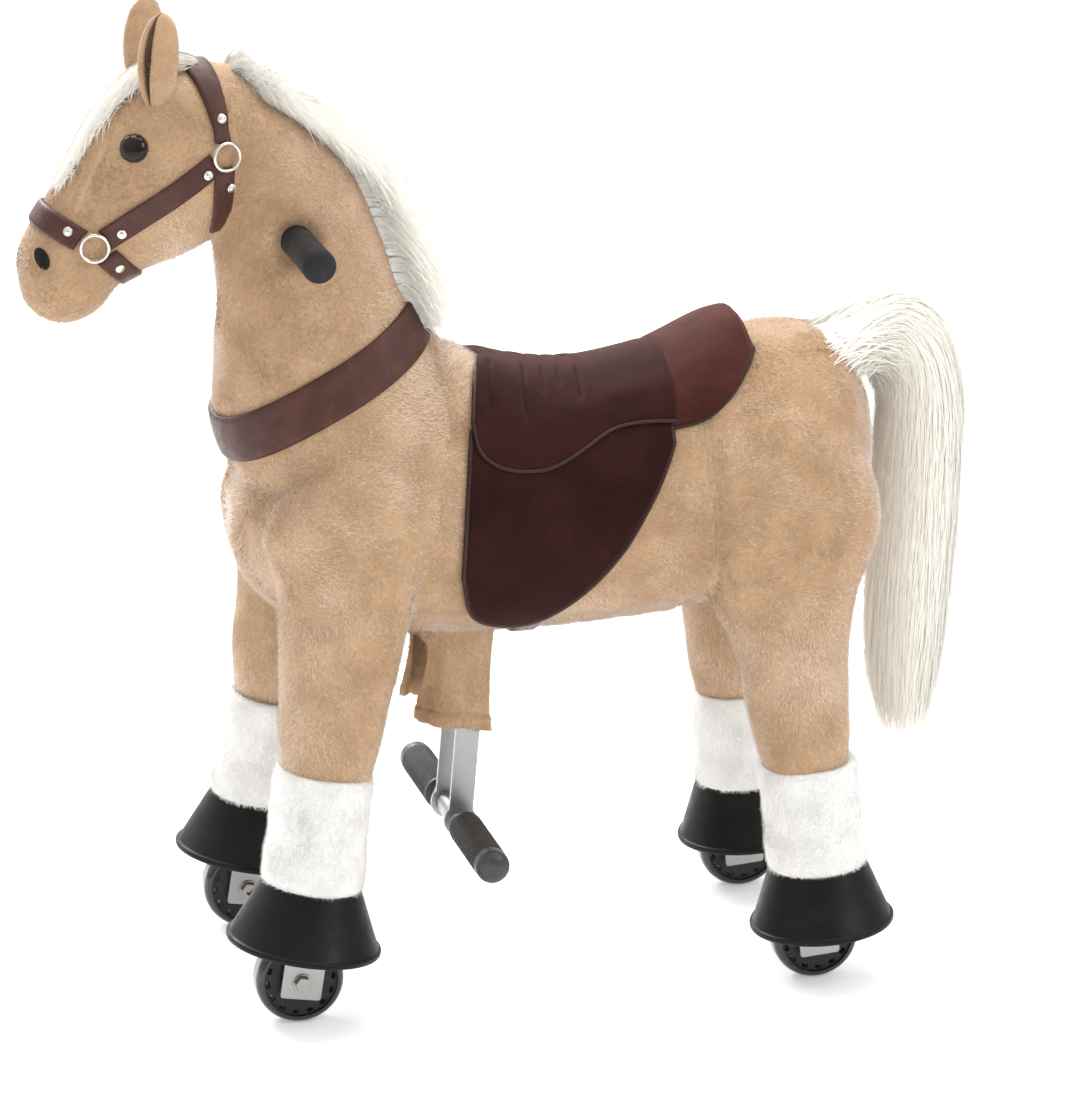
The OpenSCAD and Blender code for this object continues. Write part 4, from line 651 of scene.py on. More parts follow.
def leather(name, colour):
    """Smooth strap leather: pebbled grain, rubbed lighter here and there."""
    f = Finish(name)
    pebbles = f.ranged(f.cells(700), 0.0, 0.25)
    rub = f.ranged(f.noise(45, 4), 0.4, 0.7)
    c = f.mix(rub * 0.6 + pebbles * 0.25, shade(colour, 0.72), shade(colour, 1.3))
    rough = f.ranged(f.noise(120, 3), 0.3, 0.7, 0.36, 0.52)
    return f.done(c, rough, f.bump(pebbles + f.noise(300, 2) * 0.4, 0.0003, 0.4), Specular_IOR_Level=0.33)


def rubber(name, colour, rough, shine=0.26):
    """Moulded rubber: faint mottling, fine grain and dusty patches."""
    f = Finish(name)
    dust = f.ranged(f.noise(32, 5), 0.45, 0.75)
    c = f.mix(dust, colour, shade(colour, 1.7))
    r = f.ranged(f.noise(70, 4), 0.3, 0.7, rough - 0.07, rough + 0.08)
    return f.done(c, r, f.bump(f.noise(1100, 2), 0.00025, 0.35), Specular_IOR_Level=shine)


def tyre_finish():
    """Cast polyurethane: glossy black with fine scuffs."""
    f = Finish("tyre_black")
    scuff = f.ranged(f.noise(160, 5), 0.52, 0.72)
    c = f.mix(scuff, (0.008, 0.008, 0.009), (0.03, 0.03, 0.032))
    return f.done(c, f.ranged(scuff, 0.0, 1.0, 0.14, 0.34), f.bump(f.noise(500, 2), 0.0001, 0.2),
                  Coat_Weight=0.3, Coat_Roughness=0.1)


def metal(name, colour, rough, brush=(60, 60, 900)):
    """Plated steel: brushed along one axis, with cloudy patches."""
    f = Finish(name)
    lines = f.noise(1.0, 3, 0.6, f.stretched(*brush))
    cloud = f.noise(40, 4)
    c = f.mix(cloud, shade(colour, 0.82), colour)
    r = f.ranged(lines * 0.6 + cloud * 0.4, 0.3, 0.7, rough - 0.08, rough + 0.1)
    return f.done(c, r, f.bump(lines, 0.00008, 0.3), Metallic=1.0)


def hair_finish(name, colour):
    """Long pile: streaks of darker tone along the fall of the hair, and a faint painted glow for the light
    that pale hair passes on.
    """
    f = Finish(name)
    streak = f.noise(1.0, 3, 0.6, f.stretched(240, 240, 30))
    c = f.mix(f.ranged(streak, 0.3, 0.7), shade(colour, 0.86), colour)
    # The emission is a painted glow, standing in for light passed through the pale hair
    return f.done(c, 0.7, f.bump(streak, 0.002, 0.6), Sheen_Weight=0.25, Sheen_Roughness=0.4,
                  Specular_IOR_Level=0.2, Emission_Color=(*colour, 1.0), Emission_Strength=0.04)


def eye_finish():
    """Glossy safety eye: black, with a dark brown depth."""
    f = Finish("eye_black")
    depth = f.ranged(f.noise(60, 3), 0.35, 0.7)
    c = f.mix(depth, (0.004, 0.003, 0.003), (0.016, 0.007, 0.004))
    return f.done(c, 0.06, f.bump(f.noise(200, 2), 0.00004, 0.1), Specular_IOR_Level=0.32)


def board_finish():
    """Plywood: grain lines stretched along the board."""
    f = Finish("board")
    grain = f.noise(1.0, 4, 0.6, f.stretched(8, 160, 160))
    c = f.mix(f.ranged(grain, 0.3, 0.7), (0.36, 0.22, 0.11), (0.56, 0.38, 0.21))
    return f.done(c, 0.6, f.bump(grain, 0.0002, 0.3))


FINISH = {}


def finish(key):
    """The shared finishes, each made once."""
    if key not in FINISH:
        s = bpy.context.scene.horse_sizes
        light, dark, cream, hair, brown, hide = (tuple(c) for c in (
            s.plush_colour, s.plush_shade, s.cream_colour, s.hair_colour, s.suede_colour, s.leather_colour))
        makers = {
            "plush": lambda: plush_skin("plush", light, dark),
            # The two pale tones after the plush's own range are painted light
            "plush_pile": lambda: (pile_tones("plush_pile", shade(light, 1.02), shade(dark, 0.82), 5)
                                   + pile_tones("plush_painted_light", PAINTED_LIGHT_TONE, shade(PAINTED_LIGHT_TONE, 0.93), 2)),
            "cream": lambda: plush_skin("cream_plush", cream, shade(cream, 0.9)),
            "cream_pile": lambda: pile_tones("cream_pile", shade(cream, 1.05), shade(cream, 0.95), 3),
            # Painted shade inside the folded ear: a darker copy of the plush
            "ear_fold_painted_shade": lambda: plush_skin("ear_fold_painted_shade", dark, shade(dark, 0.6)),
            "hair": lambda: hair_finish("hair_core", hair),
            # The hair tufts carry a faint painted glow
            "hair_pile": lambda: pile_tones("hair", hair, shade(hair, 0.89), 4, 0.04),
            "suede": lambda: suede("suede", shade(brown, 0.76)),
            # Painted light and shade: the flaps wear a darker copy of the suede and the cantle a lighter one
            "suede_painted_shade": lambda: suede("suede_painted_shade", shade(brown, 0.66)),
            "suede_painted_light": lambda: suede("suede_painted_light", shade(brown, 1.65)),
            "suede_edge": lambda: leather("suede_edge", shade(brown, 0.9)),
            "thread": lambda: leather("thread", shade(brown, 1.9)),
            "leather": lambda: leather("strap_leather", hide),
            "hoof": lambda: rubber("hoof_rubber", (0.0048, 0.0052, 0.0052), 0.42, 0.17),
            "grip": lambda: rubber("grip_foam", (0.016, 0.016, 0.017), 0.72),
            "peg": lambda: rubber("peg_rubber", (0.028, 0.028, 0.028), 0.42, 0.6),
            "felt": lambda: rubber("nostril_felt", (0.008, 0.007, 0.007), 0.85),
            "tyre": tyre_finish,
            "hub": lambda: rubber("hub_plastic", (0.02, 0.02, 0.021), 0.32),
            "steel": lambda: metal("plated_steel", (0.40, 0.40, 0.395), 0.36),
            "frame": lambda: metal("frame_steel", (0.36, 0.36, 0.37), 0.42, (300, 300, 300)),
            "bolt": lambda: metal("bolt_steel", (0.36, 0.35, 0.34), 0.2, (200, 200, 200)),
            "nickel": lambda: metal("nickel", (0.82, 0.79, 0.75), 0.18, (200, 200, 200)),
            "eye": eye_finish,
            "eye_rim": lambda: rubber("eye_rim", (0.022, 0.0095, 0.005), 0.3, 0.4),
            "board": board_finish,
        }
        FINISH[key] = makers[key]()
    return FINISH[key]


def dress(key, slot, *nodes):
    """Gives CAD nodes that stay a finish."""
    for n in nodes:
        mesh = NODES[n].data
        mesh.materials.clear()
        mesh.materials.append(finish(key))


# Pile and hair

def painted_light_and_shade(p):
    """Painted light and shade: how much lighter or darker the tufts are made, bell curves over the distance
    from the places in the table.
    """
    total = np.zeros(len(p))
    for x, z, size, share in PAINTED_LIGHT_AND_SHADE:
        total += share * np.exp(-((p[:, 0] - x) ** 2 + (p[:, 2] - z) ** 2) / size**2)
    return total


def withers(p):
    """Longer pile on the back in front of the saddle: a bell curve round the spine there."""
    return np.exp(-(((p[:, 0] - WITHERS[0]) / 30) ** 2) - (p[:, 1] / 50) ** 2) * (p[:, 2] > WITHERS[1])


def tufts(name, verts, quads, tones, length, per_mm2, flow, seed, keep=None):
    """Short pile: one slim leaf for each tuft, rooted by area, leaning with the nap, lit as the skin is."""
    rng = np.random.default_rng(seed)
    tris = np.concatenate([quads[:, [0, 1, 2]], quads[:, [0, 2, 3]]])
    a, b, c = (verts[tris[:, i]] for i in range(3))
    area = np.linalg.norm(np.cross(b - a, c - a), axis=1) / 2
    pick = rng.choice(len(tris), int(area.sum() * per_mm2), p=area / area.sum())
    u, v = rng.random((2, len(pick), 1))
    flip = u + v > 1
    u, v = np.where(flip, 1 - u, u), np.where(flip, 1 - v, v)
    normals = normals_of(verts, quads)
    share = [1 - u - v, u, v]
    p = sum(s * verts[tris[pick, i]] for i, s in enumerate(share))
    n = unit(sum(s * normals[tris[pick, i]] for i, s in enumerate(share)))
    if keep is not None:
        kept = keep(p)
        p, n = p[kept], n[kept]
    lie = flow(p) + rng.normal(scale=0.35, size=p.shape)
    lie += 0.5 * np.stack([wave(p, 70, seed + i) for i in range(3)], -1)
    lie = unit(lie - (lie * n).sum(-1, keepdims=True) * n)
    tilt = np.radians(TUFT_LEAN + 9 * wave(p, 38, seed + 5) + rng.normal(scale=7, size=len(p)))[:, None]
    d = n * np.cos(tilt) + lie * np.sin(tilt)
    long = (length * rng.uniform(0.7, 1.2, len(p)) * (1 + 0.12 * wave(p, 22, seed + 6)))[:, None]
    long = long * (1 + 0.7 * withers(p))[:, None]
    side = unit(np.cross(n, d)) * TUFT_W / 2
    root = p - 0.5 * n
    points = np.stack([root + side, root - side, root + d * long], 1)
    # Tone: painted light and shade from the table, plus random waves and noise
    tone = 0.6 + painted_light_and_shade(p) + 0.08 * wave(p, 52, 7) + 0.1 * wave(p, 140, 8) + rng.normal(scale=0.12, size=len(p))
    slots = np.clip(np.round(tone * (len(tones) - 1)), 0, len(tones) - 1)
    obj = build(name, (points.reshape(-1, 3), [np.arange(3 * len(p)).reshape(-1, 3)]), tones, slots)
    lit = unit(n + 0.25 * d + rng.normal(scale=0.08, size=n.shape))
    obj.data.normals_split_custom_set_from_vertices(np.repeat(lit, 3, 0))
    return obj


def locks(name, paths, width, narrow, tones, rng, facing):
    """Long hair: a flat ribbon for each path of points, narrowing with the square of the way to its tip."""
    count, steps = paths.shape[:2]
    widths = np.broadcast_to(width - narrow * np.linspace(0, 1, steps) ** 2, (count, steps))
    t = unit(np.gradient(paths, axis=1))
    side = unit(np.cross(t, facing)) * widths[..., None] / 2
    points = np.stack([paths + side, paths - side], 2)
    base = np.arange(count)[:, None] * steps * 2
    i = np.arange(steps - 1)[None] * 2 + base
    quads = np.stack([i, i + 2, i + 3, i + 1], -1).reshape(-1, 4)
    tone = np.clip(rng.normal(0.55, 0.28, count), 0, 1)
    slots = np.repeat(np.round(tone * (len(tones) - 1)).astype(int), steps - 1)
    obj = build(name, (points.reshape(-1, 3), [quads]), tones, slots)
    obj.data.normals_split_custom_set_from_vertices(np.repeat(facing.reshape(-1, 3), 2, 0))
    return obj


def body_flow(p):
    """Nap of the body: back along the barrel, and down the legs."""
    down = smooth_step(-p[:, 2], -400, -300)
    return np.stack([1 - 0.8 * down, np.zeros(len(p)), -0.45 - 0.9 * down], -1)


def neck_flow(p):
    """Nap of neck and head: down the neck, and back from the nose."""
    c, s = cos_sin(NECK_TURN)
    head = smooth_step(-p[:, 0], 270, 330)[:, None]
    down = np.array([-c, 0.0, s])
    back = np.array([0.75, 0.0, -0.1])
    return down * (1 - head) + back * head


def straight_down(p):
    """Nap that lies straight down."""
    return np.broadcast_to(np.array([0.0, 0.0, -1.0]), p.shape)


# Joints that the pieces follow

def follow(obj, joint):
    """Leaves a skin where it lies, its place baked into its mesh, or lets a piece ride on a body."""
    if joint == "front":
        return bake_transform(obj)
    if joint == "rear":
        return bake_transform(obj)
    if joint == "neck_skin":
        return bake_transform(obj)
    if joint == "sleeve":
        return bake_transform(obj)
    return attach(obj, joint)


def piece(obj, slot, joint, *nodes, fill=None):
    """Hides the nodes that a piece stands for and lets it follow its joint; the slot and how full its padding
    is are not used.
    """
    if nodes:
        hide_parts(*nodes)
    follow(obj, joint)


# Stuffed forms

def leg_solid(top, low, r, drop, place):
    """A leg's stuffed form: sections from the shoulder's crown down to the sock."""
    up = np.array([-1, -0.97, -0.9, -0.75, -0.55, -0.3])
    down = np.linspace(0, 1, 15)
    tables = [(top, up, up * r), (low, down, down * drop)]
    a = -angles(40)
    rows = []
    for table, s, d in tables:
        mid = LEG_INNER + LEG_THICK * (LEG_MID + look(table, s, 3))
        hx, hy = r * look(table, s, 1), LEG_THICK / 2 * look(table, s, 2)
        rows.append(np.stack([hx[:, None] * bend(np.cos(a)), mid[:, None] + hy[:, None] * bend(np.sin(a)),
                              np.broadcast_to(-d[:, None], (len(s), len(a)))], -1))
    rings = np.concatenate(rows)
    middle = rings.mean(1, keepdims=True)
    narrow = np.ones(len(rings))
    narrow[-2:] = 0.97, 0.93
    rings = middle + (rings - middle) * narrow[:, None, None]
    tail = middle[-1:] + (rings[-1:] - middle[-1:]) * 0.97 + np.array([0, 4.0, -16.0])
    return loft(place(np.concatenate([rings, tail])))


def angles(n):
    """Even steps round a circle."""
    return np.arange(n) * 2 * math.pi / n


def column(st):
    """A section's four values as columns, to meet a row of angles."""
    return tuple(np.asarray(v)[:, None] for v in st)


def barrel_solid():
    """The barrel: its sections, closer together towards both ends."""
    x = BARREL_X + BARREL_L * eased(60)
    return loft(ring(column(barrel_at(x)), angles(64)[None]))


def rump(p):
    """Draws the rump in: what lies behind a place keeps a share of its distance from it."""
    drawn = p.copy()
    drawn[..., 0] -= (1 - RUMP_SHARE) * np.maximum(p[..., 0] - RUMP_X, 0)
    return drawn


def neck_root_solid():
    """The foot of the neck below the joint, which belongs to the body."""
    s = np.linspace(-0.5, -0.05, 16)
    return loft(on_neck(ring(column(neck_at(s)), angles(64)[None])))


def neck_solid():
    """The neck, drawn in by 5 mm below the joint, where it lies inside the body."""
    s = np.linspace(-0.15, 1, 44)
    off = (-5 * smooth_step(-s, 0.02, 0.12))[:, None]
    return loft(on_neck(ring(column(neck_at(s)), angles(64)[None], off)))


def head_solid():
    """The head: its sections from poll to nose, closer together towards both ends."""
    s = -0.265 + 1.265 * (1 - np.cos(np.linspace(0.25, math.pi - 0.12, 48))) / 2
    return loft(on_head(ring(column(head_at(s)), angles(64)[None])))


def head_side(x, z, off=0.0):
    """A point on the head's side at a place along it and a height towards the jaw."""
    x, z = np.broadcast_arrays(np.asarray(x, float), np.asarray(z, float))
    return np.stack([x, reach(head_at(x / HEAD_L), z) + off, z], -1)


def square_to(place, lift):
    """A point lifted off the head's side at a place on it, and the direction out of the side there."""
    x, z = place
    p = on_head(head_side(x, z))
    dx = on_head(head_side(x + 2, z)) - on_head(head_side(x - 2, z))
    dz = on_head(head_side(x, z + 2)) - on_head(head_side(x, z - 2))
    n = unit(np.cross(dz, dx))
    n = n if n[1] > 0 else -n
    return p + n * lift, n


def seam_gap(p):
    """How far a point lies behind the shoulder seam, and ahead of the haunch seam."""
    front = np.interp(p[:, 2], SHOULDER_SEAM[:, 0], SHOULDER_SEAM[:, 1])
    rear = np.interp(p[:, 2], HAUNCH_SEAM[:, 0], HAUNCH_SEAM[:, 1])
    low = p[:, 2] < LEG_TOP_Z
    front = np.where(low, 40.0, front)
    rear = np.where(low, 40.0, rear)
    return p[:, 0] - front, rear - p[:, 0]


def saddle_shadow(p):
    """True for points of the body that the saddle covers."""
    k = (p[:, 0] - SADDLE_X) / FLAP_L
    low = BELLY_Z + BARREL_H * look(FLAP_LOW, k)
    seat = p[:, 2] > BELLY_Z + BARREL_H * look(SEAT_LOW, k)
    draw = FLAP_DRAW - SEAT_STEP + SEAT_DRAW * np.maximum(1 - np.abs(p[:, 1]) / (BARREL_W / 2), 0)
    front = SADDLE_X + 3 + np.where(seat, draw, 0)
    flap = (p[:, 0] > front) & (k < 0.99) & (p[:, 2] > low + 3)
    r = (p[:, 0] - SADDLE_X - FLAP_L) / CANTLE_L
    cantle = (r >= -0.02) & (r < 0.98) & (p[:, 2] > BELLY_Z + BARREL_H * look(CANTLE_LOW, r) + 3)
    return flap | cantle


def collar_line(sine):
    """How far up the neck the middle of the collar lies: higher at the crest than at the chest."""
    return COLLAR_AT + COLLAR_RISE * (1 - sine) + 4.0 * smooth_step(sine, -0.6, 0.6)


def under_collar(p):
    """True for points that the breast collar covers."""
    s, t = along_neck(p)
    near = np.abs(s - collar_line(np.clip(t / (NECK_H / 2), -1, 1))) < COLLAR_COVER
    return near & (p[:, 0] < -40) & (p[:, 2] > 470)


def on_face_seam(p):
    """True for points in the thin parting along the seam between forehead and cheek."""
    along, down = turned_back(p, HEAD_TURN, POLL)
    seam = np.interp(along, FACE_SEAM[:, 0], FACE_SEAM[:, 1])
    return (np.abs(down - seam) < 1.5) & (along > FACE_SEAM[0, 0]) & (along < FACE_SEAM[-1, 0])


def body_bare(p):
    """True for points of the body where tufts show: not under the saddle or collar, nor in a seam."""
    behind, ahead = seam_gap(p)
    seam = (np.minimum(np.abs(behind), np.abs(ahead)) < 1.6) & (p[:, 2] > LEG_TOP_Z + 4)
    return ~saddle_shadow(p) & ~under_collar(p) & ~seam


def neck_bare(p):
    """True for points of neck and head where tufts show: not under collar or grips, nor in a seam."""
    s, _ = along_neck(p)
    bar = np.hypot(p[:, 0] - BAR_AT[0], p[:, 2] - BAR_AT[2]) < GRIP_BARE
    return (s > -6) & ~bar & ~under_collar(p) & ~on_face_seam(p)


class HORSE_OT_plush(bpy.types.Operator):
    """Stuffed skins of body, legs, neck and head, with their pile"""

    bl_idname = "horse.plush"
    bl_label = "Plush"

    def body_swell(self, verts):
        """How far the body's skin moves out: soft waves, a roll and a groove at the seams, two fillings."""
        behind, ahead = seam_gap(verts)
        near = np.minimum(np.abs(behind), np.abs(ahead))
        swell = 1.2 * wave(verts, 64, SEED) + 1.6 * bell(near - 18, 9) - 1.8 * bell(near, 5)
        hollow = np.linalg.norm(np.abs(verts) - np.array(CHEST), axis=1) * np.where(verts[:, 0] < 0, 1, 9)
        corner = np.linalg.norm((verts - np.array(NECK_CORNER)) * (1, 0.5, 1), axis=1)
        return swell + CHEST_FILL * bell(hollow, CHEST_R) + CORNER_FILL * bell(corner, CORNER_R)

    def body(self, voxel, length, density):
        """Barrel, neck's foot and legs as one skin, cut at the seams; the barrel runs on under the legs."""
        front = leg_solid(SHOULDER, FRONT_LEG, SHOULDER_R, FRONT_DROP - FRONT_SOCK, on_front)
        rear = leg_solid(HAUNCH, REAR_LEG, HAUNCH_R, REAR_DROP - REAR_SOCK, on_rear)
        solids = [barrel_solid(), neck_root_solid(), both_sides(front), both_sides(rear)]
        verts, quads = fused(solids, voxel, 14)
        verts = rump(verts)
        normals = normals_of(verts, quads)
        verts = verts + normals * self.body_swell(verts)[:, None]
        middle = verts[quads].mean(1)
        behind, ahead = seam_gap(middle)
        barrel = (behind > -SEAM_LAP) & (ahead > -SEAM_LAP) & (middle[:, 2] > LEG_TOP_Z)
        parts = {
            "body_front": (behind < 0, "front", ("front_leg_left", "front_leg_right")),
            "body_rear": (ahead < 0, "rear", ("rear_leg_left", "rear_leg_right")),
            "body_barrel": (barrel, "horse_body", ("body_plush",)),
        }
        for i, (name, (keep, joint, nodes)) in enumerate(parts.items()):
            v, q, used = cut(verts, quads, keep)
            own = keep
            if name == "body_barrel":
                past = np.maximum(-np.minimum(*seam_gap(v)), 0)
                v = v - normals[used] * (0.5 * np.minimum(past, SEAM_LAP))[:, None]
                own = keep & (behind > 0) & (ahead > 0)
            piece(build(name, (v, [q]), [finish("plush")]), "plush", joint, *nodes, fill=0.85)
            v, q, _ = cut(verts, quads, own)
            fur = tufts(name + "_pile", v, q, finish("plush_pile"), length, density, body_flow, SEED + 20 * i,
                        body_bare)
            piece(fur, "plush", joint)

    def neck(self, voxel, length, density):
        """Neck and head as one skin, dented round the hand grips."""
        verts, quads = fused([neck_solid(), head_solid()], voxel, 10)
        hole = np.hypot(verts[:, 0] - BAR_AT[0], verts[:, 2] - BAR_AT[2])
        dent = 6.5 * (1 - smooth_step(hole, 13, 27)) * (np.abs(verts[:, 1]) > 25)
        swell = 0.8 * wave(verts, 58, SEED + 1)
        verts = verts + normals_of(verts, quads) * (swell - dent)[:, None]
        skin = build("neck_and_head", (verts, [quads]), [finish("plush")])
        piece(skin, "plush", "neck_skin", "neck_plush", "head_plush", fill=0.85)
        fur = tufts("neck_and_head_pile", verts, quads, finish("plush_pile"), length, density, neck_flow,
                    SEED + 80, neck_bare)
        piece(fur, "plush", "neck_skin")

    def execute(self, context):
        sizes = context.scene.horse_sizes
        length, density = sizes.pile_length / MM, sizes.pile_density
        self.body(sizes.skin_voxel, length, density)
        self.neck(sizes.skin_voxel * 0.8, length * 0.85, density)
        return {"FINISHED"}


class HORSE_OT_face(bpy.types.Operator):
    """Ears, eyes and nostrils"""

    bl_idname = "horse.face"
    bl_label = "Face"

    def ear(self):
        """A folded leaf: an open ring of plush with a round tip, its slit facing out and forward."""
        base = on_head(head_side(0.075 * HEAD_L, -0.9 * HEAD_H / 2))
        tip = 0.8 + 0.2 * np.sin(np.linspace(0.2, math.pi / 2, 8))
        k = np.concatenate([np.linspace(-0.12, 0.8, 22), tip])[:, None]
        up = np.maximum(k, 0)
        half = np.radians(np.interp(k, [-0.12, 0.0, 0.15, 0.5, 0.85, 1.0], [178, 176, 168, 160, 160, 172]))
        v = np.linspace(-1, 1, EAR_COLS)[None]
        wide = EAR_HALF * look(EAR, up)
        lean = 5.0 * up ** 2
        rows = []
        for inset, sweep in ((0.0, v), (4.4, v[:, ::-1])):
            a = np.radians(EAR_SLIT) + math.pi + sweep * half
            curl = 1 - 0.16 * smooth_step(sweep, 0.55, 1.0)
            w = np.maximum(wide - inset * np.minimum(1, wide / 12), 0.6) * curl
            d = np.maximum(0.66 * wide - inset * np.minimum(1, wide / 12), 0.5) * curl
            x, y = lean + w * np.cos(a), 4 * up + d * np.sin(a)
            rows.append(np.stack(np.broadcast_arrays(x, y, EAR_L * k - 10), -1))
        return loft(np.concatenate(rows, 1) + base)

    def nostril(self):
        """An oval dish of felt on the side of the muzzle."""
        r, a = np.meshgrid(np.linspace(0, 1, 7), angles(28), indexing="ij")
        along, up = r * np.cos(a), r * np.sin(a)
        c, s = cos_sin(NOSTRIL_TURN)
        x = NOSTRIL_AT[0] + NOSTRIL_R[0] * along * c + NOSTRIL_R[1] * up * s
        z = NOSTRIL_AT[1] - NOSTRIL_R[0] * along * s + NOSTRIL_R[1] * up * c
        top = head_side(x, z, 1.4 + 1.8 * (1 - r**2))
        low = head_side(x, z, -2.0)
        m, n = r.shape
        verts = np.concatenate([on_head(top).reshape(-1, 3), on_head(low).reshape(-1, 3)])
        disc = grid(m, n)
        rim = (m - 1) * n + np.arange(n)
        nxt = np.roll(rim, -1)
        wall = np.stack([rim, nxt, nxt + m * n, rim + m * n], -1)
        return verts, outward(verts, [disc, disc[:, ::-1] + m * n, wall])

    def eye(self, r, lift):
        """A low dome of a radius, square to the side of the head."""
        p, n = square_to(EYE_AT, lift)
        e, f = beside(n)
        t = np.linspace(-0.5, math.pi / 2 - 0.04, 18)[:, None, None]
        a = angles(36)[None, :, None]
        return loft(p + r * np.cos(t) * (np.cos(a) * e + np.sin(a) * f) + 0.62 * r * np.sin(t) * n)

    def execute(self, context):
        verts, faces = self.ear()
        # Faces inside the ear's fold take the darker plush: painted shade
        shaded_inside = [(f % (2 * EAR_COLS)).min(1) >= EAR_COLS if f.shape[1] == 4 else np.zeros(len(f))
                  for f in faces]
        slots = np.concatenate(shaded_inside + shaded_inside)
        shape = both_sides((verts, faces))
        ears = build("ears_plush", shape, [finish("plush"), finish("ear_fold_painted_shade")], slots)
        piece(ears, "plush", "neck", "ears", fill=0.4)
        fur = tufts("ears_pile", shape[0], quads_of(shape), finish("plush_pile"), 2.6, 0.8,
                    lambda p: np.broadcast_to(np.array([0.1, 0.0, 1.0]), p.shape), SEED + 90)
        piece(fur, "plush", "neck")
        piece(build("nostrils", both_sides(self.nostril()), [finish("felt")]), "eye", "neck")
        eyes = build("eyes_glossy", both_sides(self.eye(EYE_R, 0.3)), [finish("eye")])
        piece(eyes, "eye", "neck", "eyes")
        piece(build("eye_rims", both_sides(self.eye(EYE_RIM_R, -3.4)), [finish("eye_rim")]), "eye", "neck")
        return {"FINISHED"}


